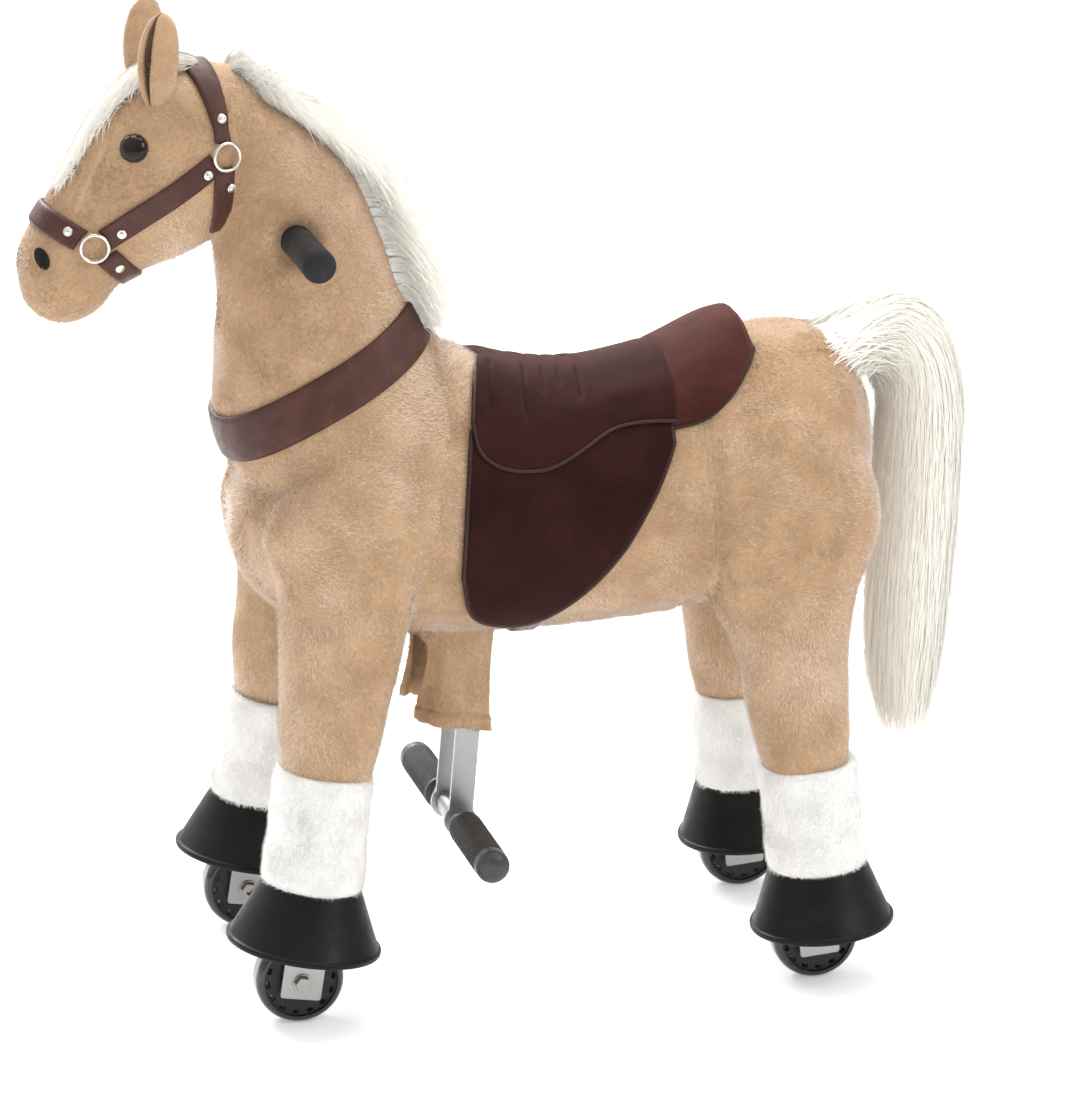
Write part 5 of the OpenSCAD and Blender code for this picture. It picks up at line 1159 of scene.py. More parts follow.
class HORSE_OT_hair(bpy.types.Operator):
    """Mane, forelock and tail: ribbons of long hair, over a soft core in mane and tail"""

    bl_idname = "horse.hair"
    bl_label = "Hair"

    def mane_core(self):
        """A soft ridge along the crest, that the hair springs from."""
        s = np.linspace(0.02, 1, 40)
        a = np.radians(np.linspace(248, 292, 21))[None]
        c = np.cos(np.linspace(-math.pi / 2, math.pi / 2, 21))[None]
        t = (MANE_CORE * look(MANE, s))[:, None]
        top = ring(column(neck_at(s)), a, 0.5)
        top[..., 2] -= t * c
        return slab(on_neck(top), on_neck(ring(column(neck_at(s)), a, -4.0)))

    def mane_paths(self, rng, side, count, steps):
        """Hair of one side of the crest: out of the skin, laid down along the neck, upright at the poll."""
        s = rng.uniform(-0.03, 1.04, count)
        poll = smooth_step(s, 0.78, 1.0)
        turn = side * np.minimum(np.abs(rng.normal(0, 13 + 9 * poll)), 27 + 12 * poll)
        a = np.radians(270 + turn)
        root = ring(neck_at(s), a, -1.5)
        out = np.stack([-0.1 + 0.45 * poll, 0.75 * np.cos(a), np.sin(a)], -1)
        k = np.linspace(0, 1, steps)[None, :, None]
        lock = 0.12 * wave(np.stack([s * NECK_L, turn, 0 * s], -1), 17, SEED + 3)
        long = (MANE_LONG * look(MANE, s) * (rng.uniform(0.55, 1.1, count) + lock))[:, None, None]
        drop = 1.15 - 0.7 * poll - 0.5 * smooth_step(-s, -0.3, 0.0)
        fall = np.stack([0.22 * rng.normal(size=count) - drop, 0.012 * turn + 0.15 * rng.normal(size=count),
                         0.2 + 0.15 * rng.normal(size=count)], -1)[:, None]
        paths = root[:, None] + long * (out[:, None] * (k - 0.3 * k**2) + fall * k**2 * 0.6)
        curl = 1.8 * np.sin(k * 4 + rng.uniform(0, 6.28, (count, 1, 3))) * k
        facing = np.stack([0 * s, np.full(count, float(side)), np.full(count, -0.6)], -1)
        facing = np.broadcast_to(unit(facing)[:, None], paths.shape)
        return on_neck(paths + curl), turned(facing, NECK_TURN, (0, 0, 0))

    def forelock_paths(self, rng, count, steps):
        """Fine hair along the middle of the face, longest at the poll, laid towards the nose."""
        s = -0.14 + 0.72 * rng.random(count) ** 1.4
        a = np.radians(rng.normal(270, 7.0, count).clip(250, 290))
        k = np.linspace(0, 1, steps)[None]
        far = np.clip((s + 0.14) / 0.72, 0, 1)
        long = ((0.095 - 0.05 * far) * rng.uniform(0.5, 1.2, count))[:, None]
        along = s[:, None] + long * k
        rise = ((16 - 10.5 * far) * rng.uniform(0.4, 1.1, count))[:, None]
        lift = -1 + rise * np.sin(0.5 * math.pi * k**0.6) * (1 - 0.25 * k**2)
        drift = a[:, None] + 0.25 * (a[:, None] - math.radians(270)) * k
        drift = drift + rng.normal(scale=0.07, size=(count, 1)) * k
        paths = ring(head_at(along), drift, lift)
        facing = unit(np.stack([np.zeros_like(drift), 3.0 * np.cos(drift), np.sin(drift)], -1))
        return on_head(paths), turned(facing, HEAD_TURN, (0, 0, 0))

    def tail_ring(self, row, a, swell=1.0):
        """A point of the tail: along its rows, at an angle round the section."""
        rows = np.concatenate([np.arange(len(TAIL))[:, None], TAIL], 1)
        xo, zo, xi, zi, w = (look(rows, row, c) for c in range(1, 6))
        xo, xi = TAIL_X + TAIL_L * xo, TAIL_X + TAIL_L * xi
        zo, zi = TAIL_Z - TAIL_DROP * zo, TAIL_Z - TAIL_DROP * zi
        k = 0.5 + 0.5 * swell * np.cos(a)
        y = TAIL_HALF * w * swell * np.sin(a)
        return np.stack(np.broadcast_arrays(xi + (xo - xi) * k, y, zi + (zo - zi) * k), -1)

    def tail_paths(self, rng, count, steps):
        """Hair of the tail: along its rows, standing off its middle and drifting round it."""
        a = rng.uniform(0, 2 * math.pi, (count, 1))
        start = rng.uniform(0.0, 8.4, (count, 1))
        end = np.minimum(start + rng.uniform(1.8, 3.4, (count, 1)), 8.9 + 1.5 * rng.random((count, 1)) ** 0.7)
        k = np.linspace(0, 1, steps)[None]
        rows = start + (end - start) * k
        swell = 0.84 * (1 - 0.3 * smooth_step(start, 6.5, 9.3))
        swell = swell + rng.uniform(0.02, 0.3, (count, 1)) * np.sin(0.5 * math.pi * k) ** 0.7
        drift = a + 0.2 * rng.normal(size=(count, 1)) * k
        last = float(len(TAIL) - 1)
        paths = self.tail_ring(np.minimum(rows, last), drift, swell)
        paths[..., 2] -= 26 * np.maximum(rows - last, 0)
        paths = paths + 2.2 * np.sin(k[..., None] * 5 + rng.uniform(0, 6.28, (count, 1, 3))) * k[..., None]
        return paths, unit(paths - self.tail_ring(np.minimum(rows, last), drift, 0.0))

    def dock_paths(self, rng, count, steps):
        """Hair from the top of the rump into the tail: quadratic curves from the skin over the bend."""
        x = DOCK_X + DOCK_L * rng.random(count) ** 0.5
        turn = rng.normal(90, 11, count)
        root = rump(ring(barrel_at(x), np.radians(turn), -2.0))
        end = self.tail_ring(rng.uniform(2.6, 5.0, count), rng.uniform(0, 2 * math.pi, count),
                             rng.uniform(0.7, 1.05, count))
        bend_at = np.stack([0.45 * root[:, 0] + 0.55 * end[:, 0], 0.5 * (root[:, 1] + end[:, 1]),
                            np.maximum(root[:, 2], end[:, 2]) + rng.uniform(4, 16, count)], -1)
        k = np.linspace(0, 1, steps)[None, :, None]
        paths = root[:, None] * (1 - k) ** 2 + 2 * k * (1 - k) * bend_at[:, None] + k**2 * end[:, None]
        facing = np.stack([0.2 + 0 * turn, np.where(turn < 90, 0.8, -0.8), 0.8 + 0 * turn], -1)
        return paths, np.broadcast_to(unit(facing)[:, None], paths.shape)

    def execute(self, context):
        rng = np.random.default_rng(SEED + 200)
        tones = finish("hair_pile")
        core = build("mane_core", self.mane_core(), [finish("hair")])
        piece(core, "long_pile", "neck_skin", "mane", fill=0.3)
        for name, side in (("left", -1), ("right", 1)):
            paths, facing = self.mane_paths(rng, side, MANE_LOCKS, SHORT_STEPS)
            hair = locks("mane_hair_" + name, paths, 0.85, 0.7, tones, rng, facing)
            piece(hair, "long_pile", "neck_skin")
        paths, facing = self.forelock_paths(rng, FORELOCK_LOCKS, SHORT_STEPS)
        fringe = locks("forelock_hair", paths, 0.55, 0.45, tones, rng, facing)
        piece(fringe, "long_pile", "neck", "forelock")
        row = np.linspace(0, 9.3, 60)[:, None]
        slim = 0.86 * (1 - 0.6 * smooth_step(row, 6.5, 9.3))
        core = build("tail_core", loft(self.tail_ring(row, -angles(32)[None], slim)), [finish("hair")])
        piece(core, "long_pile", "horse_body", "tail", fill=0.3)
        paths, facing = self.tail_paths(rng, TAIL_LOCKS, LONG_STEPS)
        piece(locks("tail_hair", paths, 0.9, 0.75, tones, rng, facing), "long_pile", "horse_body")
        paths, facing = self.dock_paths(rng, DOCK_LOCKS, LONG_STEPS)
        piece(locks("tail_dock_hair", paths, 0.7, 0.5, tones, rng, facing), "long_pile", "horse_body")
        return {"FINISHED"}


class HORSE_OT_socks(bpy.types.Operator):
    """Rubber hooves, and the white plush socks over them"""

    bl_idname = "horse.socks"
    bl_label = "Socks"

    def sock(self, drop, l, head_drop, place):
        """Rings round the sloping leg tube, rolled in at the top."""
        in_y = HIP_TRACK / 2 + (TRACK - HIP_TRACK) / 2 * (drop - l) / head_drop
        k = np.concatenate([[-0.02, -0.035, -0.03, -0.012], np.linspace(0.02, 1 - HOOF_RISE / l, 22)])
        inset = np.concatenate([[9.0, 5.0, 2.0, 0.5], np.zeros(20), [0.4, 2.0]])
        ripple = 1 + 0.012 * np.sin(k * 21)
        r = (SOCK_D / 2 * (look(SOCK, k) + 0.035 * (1 - smooth_step(k, 0.1, 0.6))) * ripple - inset)[:, None]
        a = -angles(48)[None]
        y = (in_y + (TRACK / 2 - in_y) * k)[:, None]
        x, dy = r * np.cos(a), r * np.sin(a)
        z = np.broadcast_to(-(drop - l + l * k)[:, None], x.shape)
        return loft(place(np.stack([x, y + dy, z], -1)))

    def hoof(self, drop, d, place):
        """A hollow rubber cone with a rolled lip: a closed outline carried round the leg's end."""
        top, low, r = drop - HOOF_RISE, drop + HOOF_H, d / 2
        outline = np.array([
            [HOOF_BORE, top], [42.5, top], [44.5, top + 1.0], [45.4, top + 2.6], [r - 3.2, low - 6.6],
            [r - 2.2, low - 5.6], [r - 0.5, low - 5.2], [r, low - 4.2], [r, low - 1.5], [r - 0.6, low - 0.4],
            [r - 1.8, low], [r - 6.4, low], [39.0, top + 6], [HOOF_BORE, top + 6]])
        a = angles(72)[None]
        x, y = outline[:, :1] * np.cos(a), TRACK / 2 + outline[:, :1] * np.sin(a)
        rings = np.stack(np.broadcast_arrays(x, y, -outline[:, 1:]), -1)
        verts = place(rings).reshape(-1, 3)
        return verts, outward(verts, [wrapped(*rings.shape[:2])])

    def execute(self, context):
        sizes = context.scene.horse_sizes
        pairs = (("front", FRONT_DROP, FRONT_SOCK, FRONT_TUBE, on_front, "front_legs", FRONT_HOOF_D),
                 ("rear", REAR_DROP, REAR_SOCK, REAR_TUBE, on_rear, "rear_legs", REAR_HOOF_D))
        for i, (end, drop, l, head_drop, place, body, wide) in enumerate(pairs):
            hooves = build(f"{end}_hooves_rubber", both_sides(self.hoof(drop, wide, place)), [finish("hoof")])
            piece(hooves, "rubber", body, f"{end}_hooves")
            shape = both_sides(self.sock(drop, l, head_drop, place))
            skin = build(f"{end}_socks_plush", shape, [finish("cream")])
            piece(skin, "cream_plush", body, f"{end}_socks", fill=0.8)
            fur = tufts(f"{end}_socks_pile", shape[0], quads_of(shape), finish("cream_pile"),
                        sizes.pile_length / MM, sizes.pile_density * 1.1, straight_down, SEED + 100 + 20 * i)
            piece(fur, "cream_plush", body)
        return {"FINISHED"}


# Saddle and tack

def edge_angle(st, z, off):
    """Angle round a section where a height is met."""
    _, above, below, _ = st
    k = np.clip((z - (above + below) / 2) / ((above - below) / 2 + off), -1, 1)
    return np.arcsin(np.sign(k) * np.abs(k) ** (1 / ROUND))


def on_back(k, j, x1, l, low, off, fore, aft):
    """A point over the back: k along the saddle, j from edge to edge, both ends drawn back at the spine."""
    e = edge_angle(barrel_at(x1 + l * k), BELLY_Z + BARREL_H * look(low, k), 0.97)
    a = e + (math.pi - 2 * e) * j
    return ring(barrel_at(x1 + l * k + (fore + (aft - fore) * k) * (1 - np.abs(np.cos(a)))), a, off)


def rounded(d, r):
    """Height of a rounded edge at a distance from it: a quarter circle of radius r."""
    t = np.clip(d / r, 0, 1)
    return np.sqrt(1 - (1 - t) ** 2)


def stitches(path, normals, pitch=4.0, size=(2.8, 0.9, 0.6)):
    """A row of stitches: small beads set along a path at an even pitch."""
    seg = np.linalg.norm(np.diff(path, axis=0), axis=1)
    far = np.concatenate([[0], np.cumsum(seg)])
    at = np.arange(pitch / 2, far[-1], pitch)
    p = np.stack([np.interp(at, far, path[:, i]) for i in range(3)], -1)
    n = unit(np.stack([np.interp(at, far, normals[:, i]) for i in range(3)], -1))
    t = unit(np.stack([np.interp(at + 0.5, far, path[:, i]) - np.interp(at - 0.5, far, path[:, i])
                       for i in range(3)], -1))
    b = np.cross(n, t)
    u = np.array([-1, -0.6, 0.6, 1.0])
    r = np.array([0.25, 1.0, 1.0, 0.25])
    a = angles(6)
    x = (u[:, None] * size[0] / 2 + 0 * a)[None, ..., None]
    y = (r[:, None] * np.cos(a) * size[1] / 2)[None, ..., None]
    z = (r[:, None] * np.sin(a) * size[2] / 2)[None, ..., None]
    rings = p[:, None, None] + x * t[:, None, None] + y * b[:, None, None] + z * n[:, None, None]
    count = len(p)
    faces = (grid(4, 6)[None] + (np.arange(count) * 24)[:, None, None]).reshape(-1, 4)
    ends = np.array([[0, 5, 4, 3, 2, 1], [18, 19, 20, 21, 22, 23]])
    caps = (ends[None] + (np.arange(count) * 24)[:, None, None]).reshape(-1, 6)
    return rings.reshape(-1, 3), [faces[:, ::-1], caps[:, ::-1]]


class HORSE_OT_saddle(bpy.types.Operator):
    """Saddle seat, cantle, flaps, piping, stitching and girth"""

    bl_idname = "horse.saddle"
    bl_label = "Saddle"

    def on_seat(self, k, j, off):
        """A point of the seat: k from front to rear, j from edge to edge, standing off the back."""
        x, l = SADDLE_X + FLAP_DRAW - SEAT_STEP, FLAP_L - FLAP_DRAW + SEAT_STEP
        return on_back(k, j, x, l, SEAT_LOW, off, SEAT_DRAW, CANTLE_DRAW)

    def on_cantle(self, k, j, off):
        """A point of the cantle: k from front to rear, j from edge to edge, standing off the back."""
        return on_back(k, j, SADDLE_X + FLAP_L - 3, CANTLE_L + 3, CANTLE_LOW, off, CANTLE_DRAW, 0.0)

    def seat_top(self, k, j):
        """How far the seat's face stands off the back: thicker to the spine, creased, with rounded edges."""
        crown = np.sin(math.pi * j) ** 0.8
        rise = 3.6 + (12 * look(SEAT_THICK, k) - FLAP_T) * crown
        under = FLAP_T * (1 - 0.85 * smooth_step(crown, 0.5, 0.95))
        side = np.abs(j - 0.5) * 2
        for at, deep, end in CREASES:
            past = k - at - 0.03 * (side - 0.3)
            ends = smooth_step(end - side, 0.0, 0.14) * smooth_step(side, 0.05, 0.2)
            rise = rise - 3.4 * deep * bell(past, 0.012) * ends
            rise = rise + 0.9 * deep * bell(past - 0.045, 0.03) * smooth_step(end - side, 0.0, 0.2)
        border = np.minimum(np.minimum(k, 1.012 - k) * FLAP_L, np.minimum(j, 1 - j) * 260)
        return 0.95 + under + rise * (0.12 + 0.88 * rounded(border, 8.0))

    def seat(self):
        """Padded seat with small flaps."""
        k, j = np.meshgrid(np.linspace(0, 1, 130), np.linspace(0, 1, 161), indexing="ij")
        return slab(self.on_seat(k, j, self.seat_top(k, j)), self.on_seat(k, j, -1.5))

    def cantle_top(self, k, j):
        """How far the cantle's roll stands off the back, with the groove of its rear seam."""
        crown = np.sin(math.pi * j) ** 0.7
        thick = 9 + (24 * look(CANTLE_THICK, k) - 9) * crown
        border = np.minimum(np.minimum(k + 0.03, 1 - k) * CANTLE_L, np.minimum(j, 1 - j) * 220)
        thick = thick * (0.25 + 0.75 * rounded(border, 12.0))
        return 0.95 + thick - 1.3 * bell(k - 0.93, 0.012) * crown

    def cantle(self):
        """Raised roll behind the seat."""
        k, j = np.meshgrid(np.linspace(0, 1, 80), np.linspace(0, 1, 121), indexing="ij")
        return slab(self.on_cantle(k, j, self.cantle_top(k, j)), self.on_cantle(k, j, -1.5))

    def flap_grid(self, k, j, off):
        """A point of a flap: k along it, j from its low edge to the seat."""
        x = SADDLE_X + FLAP_L * k
        lo = edge_angle(barrel_at(x), BELLY_Z + BARREL_H * look(FLAP_LOW, k), 0)
        hi = edge_angle(barrel_at(x + FLAP_DRAW * (1 - k)), BELLY_Z + BARREL_H * look(SEAT_LOW, k), 0) + 0.06
        return ring(barrel_at(x + FLAP_DRAW * (1 - k) * j**2), lo + (hi - lo) * j, off)

    def flap_rim(self):
        """The flap's outline: down its front, along its low edge and up behind."""
        k = eased(120)
        down = np.linspace(0.9, 0.02, 30)
        ends = [self.flap_grid(np.full_like(down, e), d, 4.2) for e, d in ((0.0, down), (1.0, down[::-1]))]
        return np.concatenate([ends[0], self.flap_grid(k, np.zeros_like(k), 4.2), ends[1]])

    def flap(self):
        """Flat lower flap: an even pad with a rounded rim."""
        u, j = np.meshgrid(np.linspace(0, 1, 90), np.linspace(0, 1, 60), indexing="ij")
        k = (1 - np.cos(math.pi * u)) / 2
        border = np.minimum(np.minimum(k, 1 - k) * FLAP_L, j * 150)
        thick = FLAP_T * (0.45 + 0.55 * rounded(border, 5.0))
        return slab(self.flap_grid(k, j, 0.9 + thick), self.flap_grid(k, j, -1.5))

    def piping(self):
        """Round cords along the edges of seat, flaps and cantle; the one in front thins towards the spine."""
        k = eased(140)
        none, one, across = np.zeros_like(k), np.ones(90), np.linspace(0, 1, 90)
        thin = 2.0 - 1.2 * smooth_step(np.sin(math.pi * across), 0.8, 1)
        front = self.on_seat(0 * one, across, self.seat_top(0 * one, across) + 0.3)
        return together(both_sides(tube(self.on_seat(k, none, 8.2), 2.0)),
                        tube(front, thin),
                        both_sides(tube(self.flap_rim(), 2.3)),
                        tube(self.on_cantle(one, across, 4.0), 2.2),
                        both_sides(tube(self.on_cantle(k, none, 3.4), 2.0)))

    def stitching(self):
        """Two rows of stitches across the cantle, and one along each flap's low edge."""
        k = eased(140)
        j = np.linspace(0.03, 0.97, 120)
        rows = []
        for at in (0.955, 0.905):
            kk = np.full_like(j, at)
            p = self.on_cantle(kk, j, self.cantle_top(kk, j) + 0.1)
            rows.append(stitches(p, self.on_cantle(kk, j, self.cantle_top(kk, j) + 1.1) - p))
        p = self.flap_grid(k, np.full_like(k, 0.045), 0.9 + FLAP_T)
        out = self.flap_grid(k, np.full_like(k, 0.045), 1.9 + FLAP_T) - p
        rows.append(both_sides(stitches(p, out)))
        return together(*rows)

    def girth(self):
        """A strap under the belly from flap to flap: the barrel's sections between the flaps' low edges."""
        x = SADDLE_X + FLAP_L * GIRTH_AT
        e = float(edge_angle(barrel_at(x), BELLY_Z + BARREL_H * look(FLAP_LOW, GIRTH_AT), 0))
        t, c = np.meshgrid(np.linspace(math.pi - e - 0.08, 2 * math.pi + e + 0.08, 60), np.linspace(-1, 1, 9),
                           indexing="ij")
        lift = 3.4 * (0.5 + 0.5 * rounded((1 - np.abs(c)) * GIRTH_HALF, 2.5))
        sections = barrel_at(x + GIRTH_HALF * c)
        return slab(ring(sections, t, 0.6 + lift), ring(sections, t, -1.0))

    def execute(self, context):
        seat = build("saddle_seat_pad", self.seat(), [finish("suede")])
        piece(seat, "suede", "horse_body", "saddle_seat", fill=0.7)
        # The cantle wears the lighter copy of the suede: painted light
        cantle = build("saddle_cantle_pad", self.cantle(), [finish("suede_painted_light")])
        piece(cantle, "suede", "horse_body", "saddle_cantle", fill=0.9)
        right = self.flap()
        # The flaps wear the darker copy of the suede: painted shade
        for side, shape in (("left", other_side(right)), ("right", right)):
            flap = build(f"saddle_flap_pad_{side}", shape, [finish("suede_painted_shade")])
            piece(flap, "suede", "horse_body", f"saddle_flap_{side}", fill=0.3)
        piece(build("saddle_piping", self.piping(), [finish("suede_edge")]), "suede", "horse_body")
        piece(build("saddle_stitching", self.stitching(), [finish("thread")]), "suede", "horse_body")
        piece(build("girth_strap", self.girth(), [finish("leather")]), "strap", "horse_body", "girth")
        return {"FINISHED"}


def strap(surface, steps, thick, closed=False, cols=11, sink=1.2):
    """A leather strap on a surface: crowned a little, its long edges rounded."""
    t = np.linspace(0, 1, steps, endpoint=not closed)
    c = np.linspace(-1, 1, cols)
    tt, cc = np.meshgrid(t, c, indexing="ij")
    p = surface(tt, cc)
    dt = surface(tt + 1e-3, cc) - surface(tt - 1e-3, cc)
    dc = surface(tt, cc + 1e-3) - surface(tt, cc - 1e-3)
    n = unit(np.cross(dt, dc))
    lift = thick * (0.45 + 0.55 * rounded((1 - np.abs(cc)), 0.22)) + 0.3 * (1 - cc**2)
    if not closed:
        ends = rounded(np.minimum(tt, 1 - tt) * steps, 2.0)
        lift = lift * (0.5 + 0.5 * ends)
        return slab(p + n * lift[..., None], p - n * sink)
    loop = np.concatenate([p + n * lift[..., None], (p - n * sink)[:, ::-1]], 1)
    verts = loop.reshape(-1, 3)
    return verts, outward(verts, [wrapped(*loop.shape[:2])])


class HORSE_OT_tack(bpy.types.Operator):
    """Breast collar and halter with its rings and rivets"""

    bl_idname = "horse.tack"
    bl_label = "Tack"

    def collar(self):
        """Round the foot of the neck: its sections where the collar's line meets them."""
        def surface(t, c):
            a = t * 2 * math.pi
            s = (collar_line(np.sin(a)) + COLLAR_HALF * c) / NECK_L
            return on_neck(ring(neck_at(s), a, 1.6))
        return strap(surface, 160, 3.2, True, 15, 3.5)

    def round_nose(self, lo, hi):
        """Round the muzzle between two angles, leaning with the face."""
        def surface(t, c):
            a = np.radians(lo + (hi - lo) * t)
            z = ring(head_at(np.full_like(a, 0.64)), a)[..., 2]
            x = 145.0 - np.where(z < 0, 0.31, 0.06) * z + STRAP_W / 2 * c
            return on_head(ring(head_at(x / HEAD_L), a, 1.2))
        return strap(surface, 60, STRAP_T)

    def on_cheek(self, a, b, width=STRAP_W):
        """A straight strap on the head's side, from one place to another."""
        a, b = np.array(a), np.array(b)
        v = (b - a) / np.linalg.norm(b - a)

        def surface(t, c):
            x = a[0] + (b[0] - a[0]) * t - v[1] * width / 2 * c
            z = a[1] + (b[1] - a[1]) * t + v[0] * width / 2 * c
            return on_head(head_side(x, z, 1.2))
        return strap(surface, 40, STRAP_T)

    def crown(self):
        """From cheek to cheek over the poll, along the crown's curve."""
        def surface(t, c):
            a = np.radians(173 + 194 * t + 4.7 * c * (1 - 2 * t))
            z = ring(head_at(np.full_like(a, 0.02)), a)[..., 2]
            x = look(CROWN, z) + 9.0 * c
            return on_head(ring(head_at(x / HEAD_L), a, 2.2))
        return strap(surface, 80, STRAP_T)

    def ring_at(self, place, lift):
        """A wire ring that lies on the side of the head, square to it."""
        p, n = square_to(place, lift)
        e, f = beside(n)
        a = angles(40)[:, None]
        return tube(p + RING_R * (np.cos(a) * e + np.sin(a) * f), WIRE_R, 10, True, n)

    def rivet(self, place):
        """A domed rivet with a rolled rim: a profile of radius and height, square to the side of the head."""
        p, n = square_to(place[:2], 3.4 + place[2])
        e, f = beside(n)
        prof = np.array([[4.0, -1.2], [4.3, 0.0], [4.1, 0.8], [3.4, 1.1], [3.0, 0.9], [2.6, 1.3], [1.4, 2.0],
                         [0.3, 2.2]])
        a = angles(24)[None, :, None]
        return loft(p + prof[:, :1, None] * (np.cos(a) * e + np.sin(a) * f) + prof[:, 1:, None] * n)

    def execute(self, context):
        collar = build("breast_collar_strap", self.collar(), [finish("leather")])
        piece(collar, "strap", "horse_body", "breast_collar")
        nose, cheek, throat = (np.array(v) for v in (NOSE_RING, CHEEK_RING, THROAT_END))
        v = unit(cheek - nose)
        w = unit(throat - cheek)
        band = together(self.round_nose(193, 347), self.round_nose(14, 166))
        piece(build("noseband_strap", band, [finish("leather")]), "strap", "neck", "noseband")
        cheeks = both_sides(together(self.on_cheek(nose + v * 11, cheek - v * 10),
                                     self.on_cheek(cheek + w * 10, throat + w * 6, THROAT_W)))
        piece(build("cheek_straps_leather", cheeks, [finish("leather")]), "strap", "neck", "cheek_straps")
        piece(build("crown_strap_leather", self.crown(), [finish("leather")]), "strap", "neck", "crown_strap")
        rings = both_sides(together(self.ring_at(NOSE_RING, 5.0), self.ring_at(CHEEK_RING, 5.0)))
        piece(build("halter_rings_wire", rings, [finish("nickel")]), "nickel", "neck", "halter_rings")
        places = [(120.6, -1.6, 0), (154.0, -32.0, 0), (32.0, 9.5, 0), (25.0, 33.5, 0), (143.0, 22.0, 0),
                  (-9.0, -17.0, 1.6)]
        rivets = both_sides(together(*(self.rivet(p) for p in places)))
        piece(build("halter_rivets_domed", rivets, [finish("nickel")]), "nickel", "neck", "halter_rivets")
        return {"FINISHED"}


class HORSE_OT_grips(bpy.types.Operator):
    """Hand grips, knurled foot pegs and the cloth sleeve of the footrest arm"""

    bl_idname = "horse.grips"
    bl_label = "Grips"

    def hand_grip(self):
        """Foam grip: a round bar with a soft end and a faint swell."""
        dome = GRIP_TO + GRIP_DOME * np.sin(np.linspace(0.1, math.pi / 2, 12))
        y = np.concatenate([np.linspace(GRIP_FROM, GRIP_TO, 40), dome])
        r = np.where(y < GRIP_TO, GRIP_R + 0.6 * smooth_step(y, 110, 148),
                     15.1 * np.sqrt(np.maximum(0.004, 1 - ((y - GRIP_TO) / 8.2) ** 2)))
        return loft(turned(spun(np.stack([r, y], -1)), 0, BAR_AT))

    def peg(self):
        """Knurled rubber: two crossing spirals of ridges on a bar, with smooth collars and a domed end."""
        dome = PEG_TO + PEG_DOME * np.sin(np.linspace(0.05, math.pi / 2, 14))
        y = np.concatenate([np.linspace(PEG_FROM, PEG_TO, 240), dome])
        a = angles(150)[None]
        yy = y[:, None]
        cap = 15.4 * np.sqrt(np.maximum(0.004, 1 - (np.maximum(y - PEG_TO, 0) / 9.3) ** 2))
        base = np.where(y < PEG_TO, PEG_R, cap)
        left = np.abs(((a * KNURLS / (2 * math.pi) + yy / KNURL_PITCH) % 1) - 0.5) * 2
        right = np.abs(((a * KNURLS / (2 * math.pi) - yy / KNURL_PITCH) % 1) - 0.5) * 2
        stud = smooth_step(np.minimum(left, right), 0.12, 0.55)
        zone = smooth_step(yy, 51, 54) * (1 - smooth_step(yy, 147, 150))
        r = base[:, None] + 1.2 * stud * zone - 0.35 * zone + 0.5 * (1 - zone) * (yy < PEG_TO)
        rings = np.stack([r * np.sin(a), np.broadcast_to(yy, r.shape), r * np.cos(a)], -1)
        return loft(on_lever(rings + np.array([0, 0, -PEG_DROP])))

    def sleeve_face(self, k, u, inset):
        """Hanging plush sleeve: three panels of an oblong with a hem, open in front below an arch."""
        gap = np.radians(4 + 50 * smooth_step(k, 0.02, 0.3) - 20 * smooth_step(k, 0.4, 0.95))
        a = -math.pi + gap + (2 * math.pi - 2 * gap) * u
        fold = 3.6 * k * np.sin(7 * a + 0.8) + 1.6 * k * np.sin(12 * a + 2.1 + 1.5 * k)
        edge = smooth_step(np.abs(u - 0.5), 0.4, 0.5)
        hem = 1.3 * smooth_step(k, 0.875, 0.895) - 0.9 * bell(k - 0.87, 0.008)
        hx = SLEEVE_HALF_L - inset + fold - 3 * k * (1 - k) - 5 * edge * k
        hy = SLEEVE_HALF_W - inset + fold - 6 * np.sin(math.pi * k) - 4 * edge * k
        hx, hy = hx + hem * (inset == 0), hy + hem * (inset == 0)
        x = SLEEVE_X + hx * np.sign(np.cos(a)) * np.abs(np.cos(a)) ** 0.62
        y = hy * np.sign(np.sin(a)) * np.abs(np.sin(a)) ** 0.62
        low = SLEEVE_L + 5.0 * np.cos(a) + 1.2 * np.sin(5 * a)
        return np.stack(np.broadcast_arrays(x, y, -(SLEEVE_TOP + low * k)), -1)

    def execute(self, context):
        sizes = context.scene.horse_sizes
        right = self.hand_grip()
        for side, shape in (("left", other_side(right)), ("right", right)):
            grip = build(f"hand_grip_{side}", shape, [finish("grip")])
            piece(grip, "rubber", "neck", f"grip_{side}")
        pegs = build("foot_pegs_knurled", both_sides(self.peg()), [finish("peg")])
        piece(pegs, "peg_rubber", "footrest", "foot_grips")
        k, u = np.meshgrid(np.linspace(0, 1, 70), np.linspace(0, 1, 131), indexing="ij")
        outer, inner = (on_lever(self.sleeve_face(k, u, inset)) for inset in (0.0, SLEEVE_T))
        verts, (quads,) = slab(outer, inner)
        sleeve = build("belly_sleeve_plush", (verts, [quads]), [finish("plush")])
        piece(sleeve, "plush", "sleeve", "belly_sleeve", fill=0.2)
        fur = tufts("belly_sleeve_pile", verts, quads, finish("plush_pile"), sizes.pile_length / MM,
                    sizes.pile_density, straight_down, SEED + 160)
        piece(fur, "plush", "sleeve")
        return {"FINISHED"}


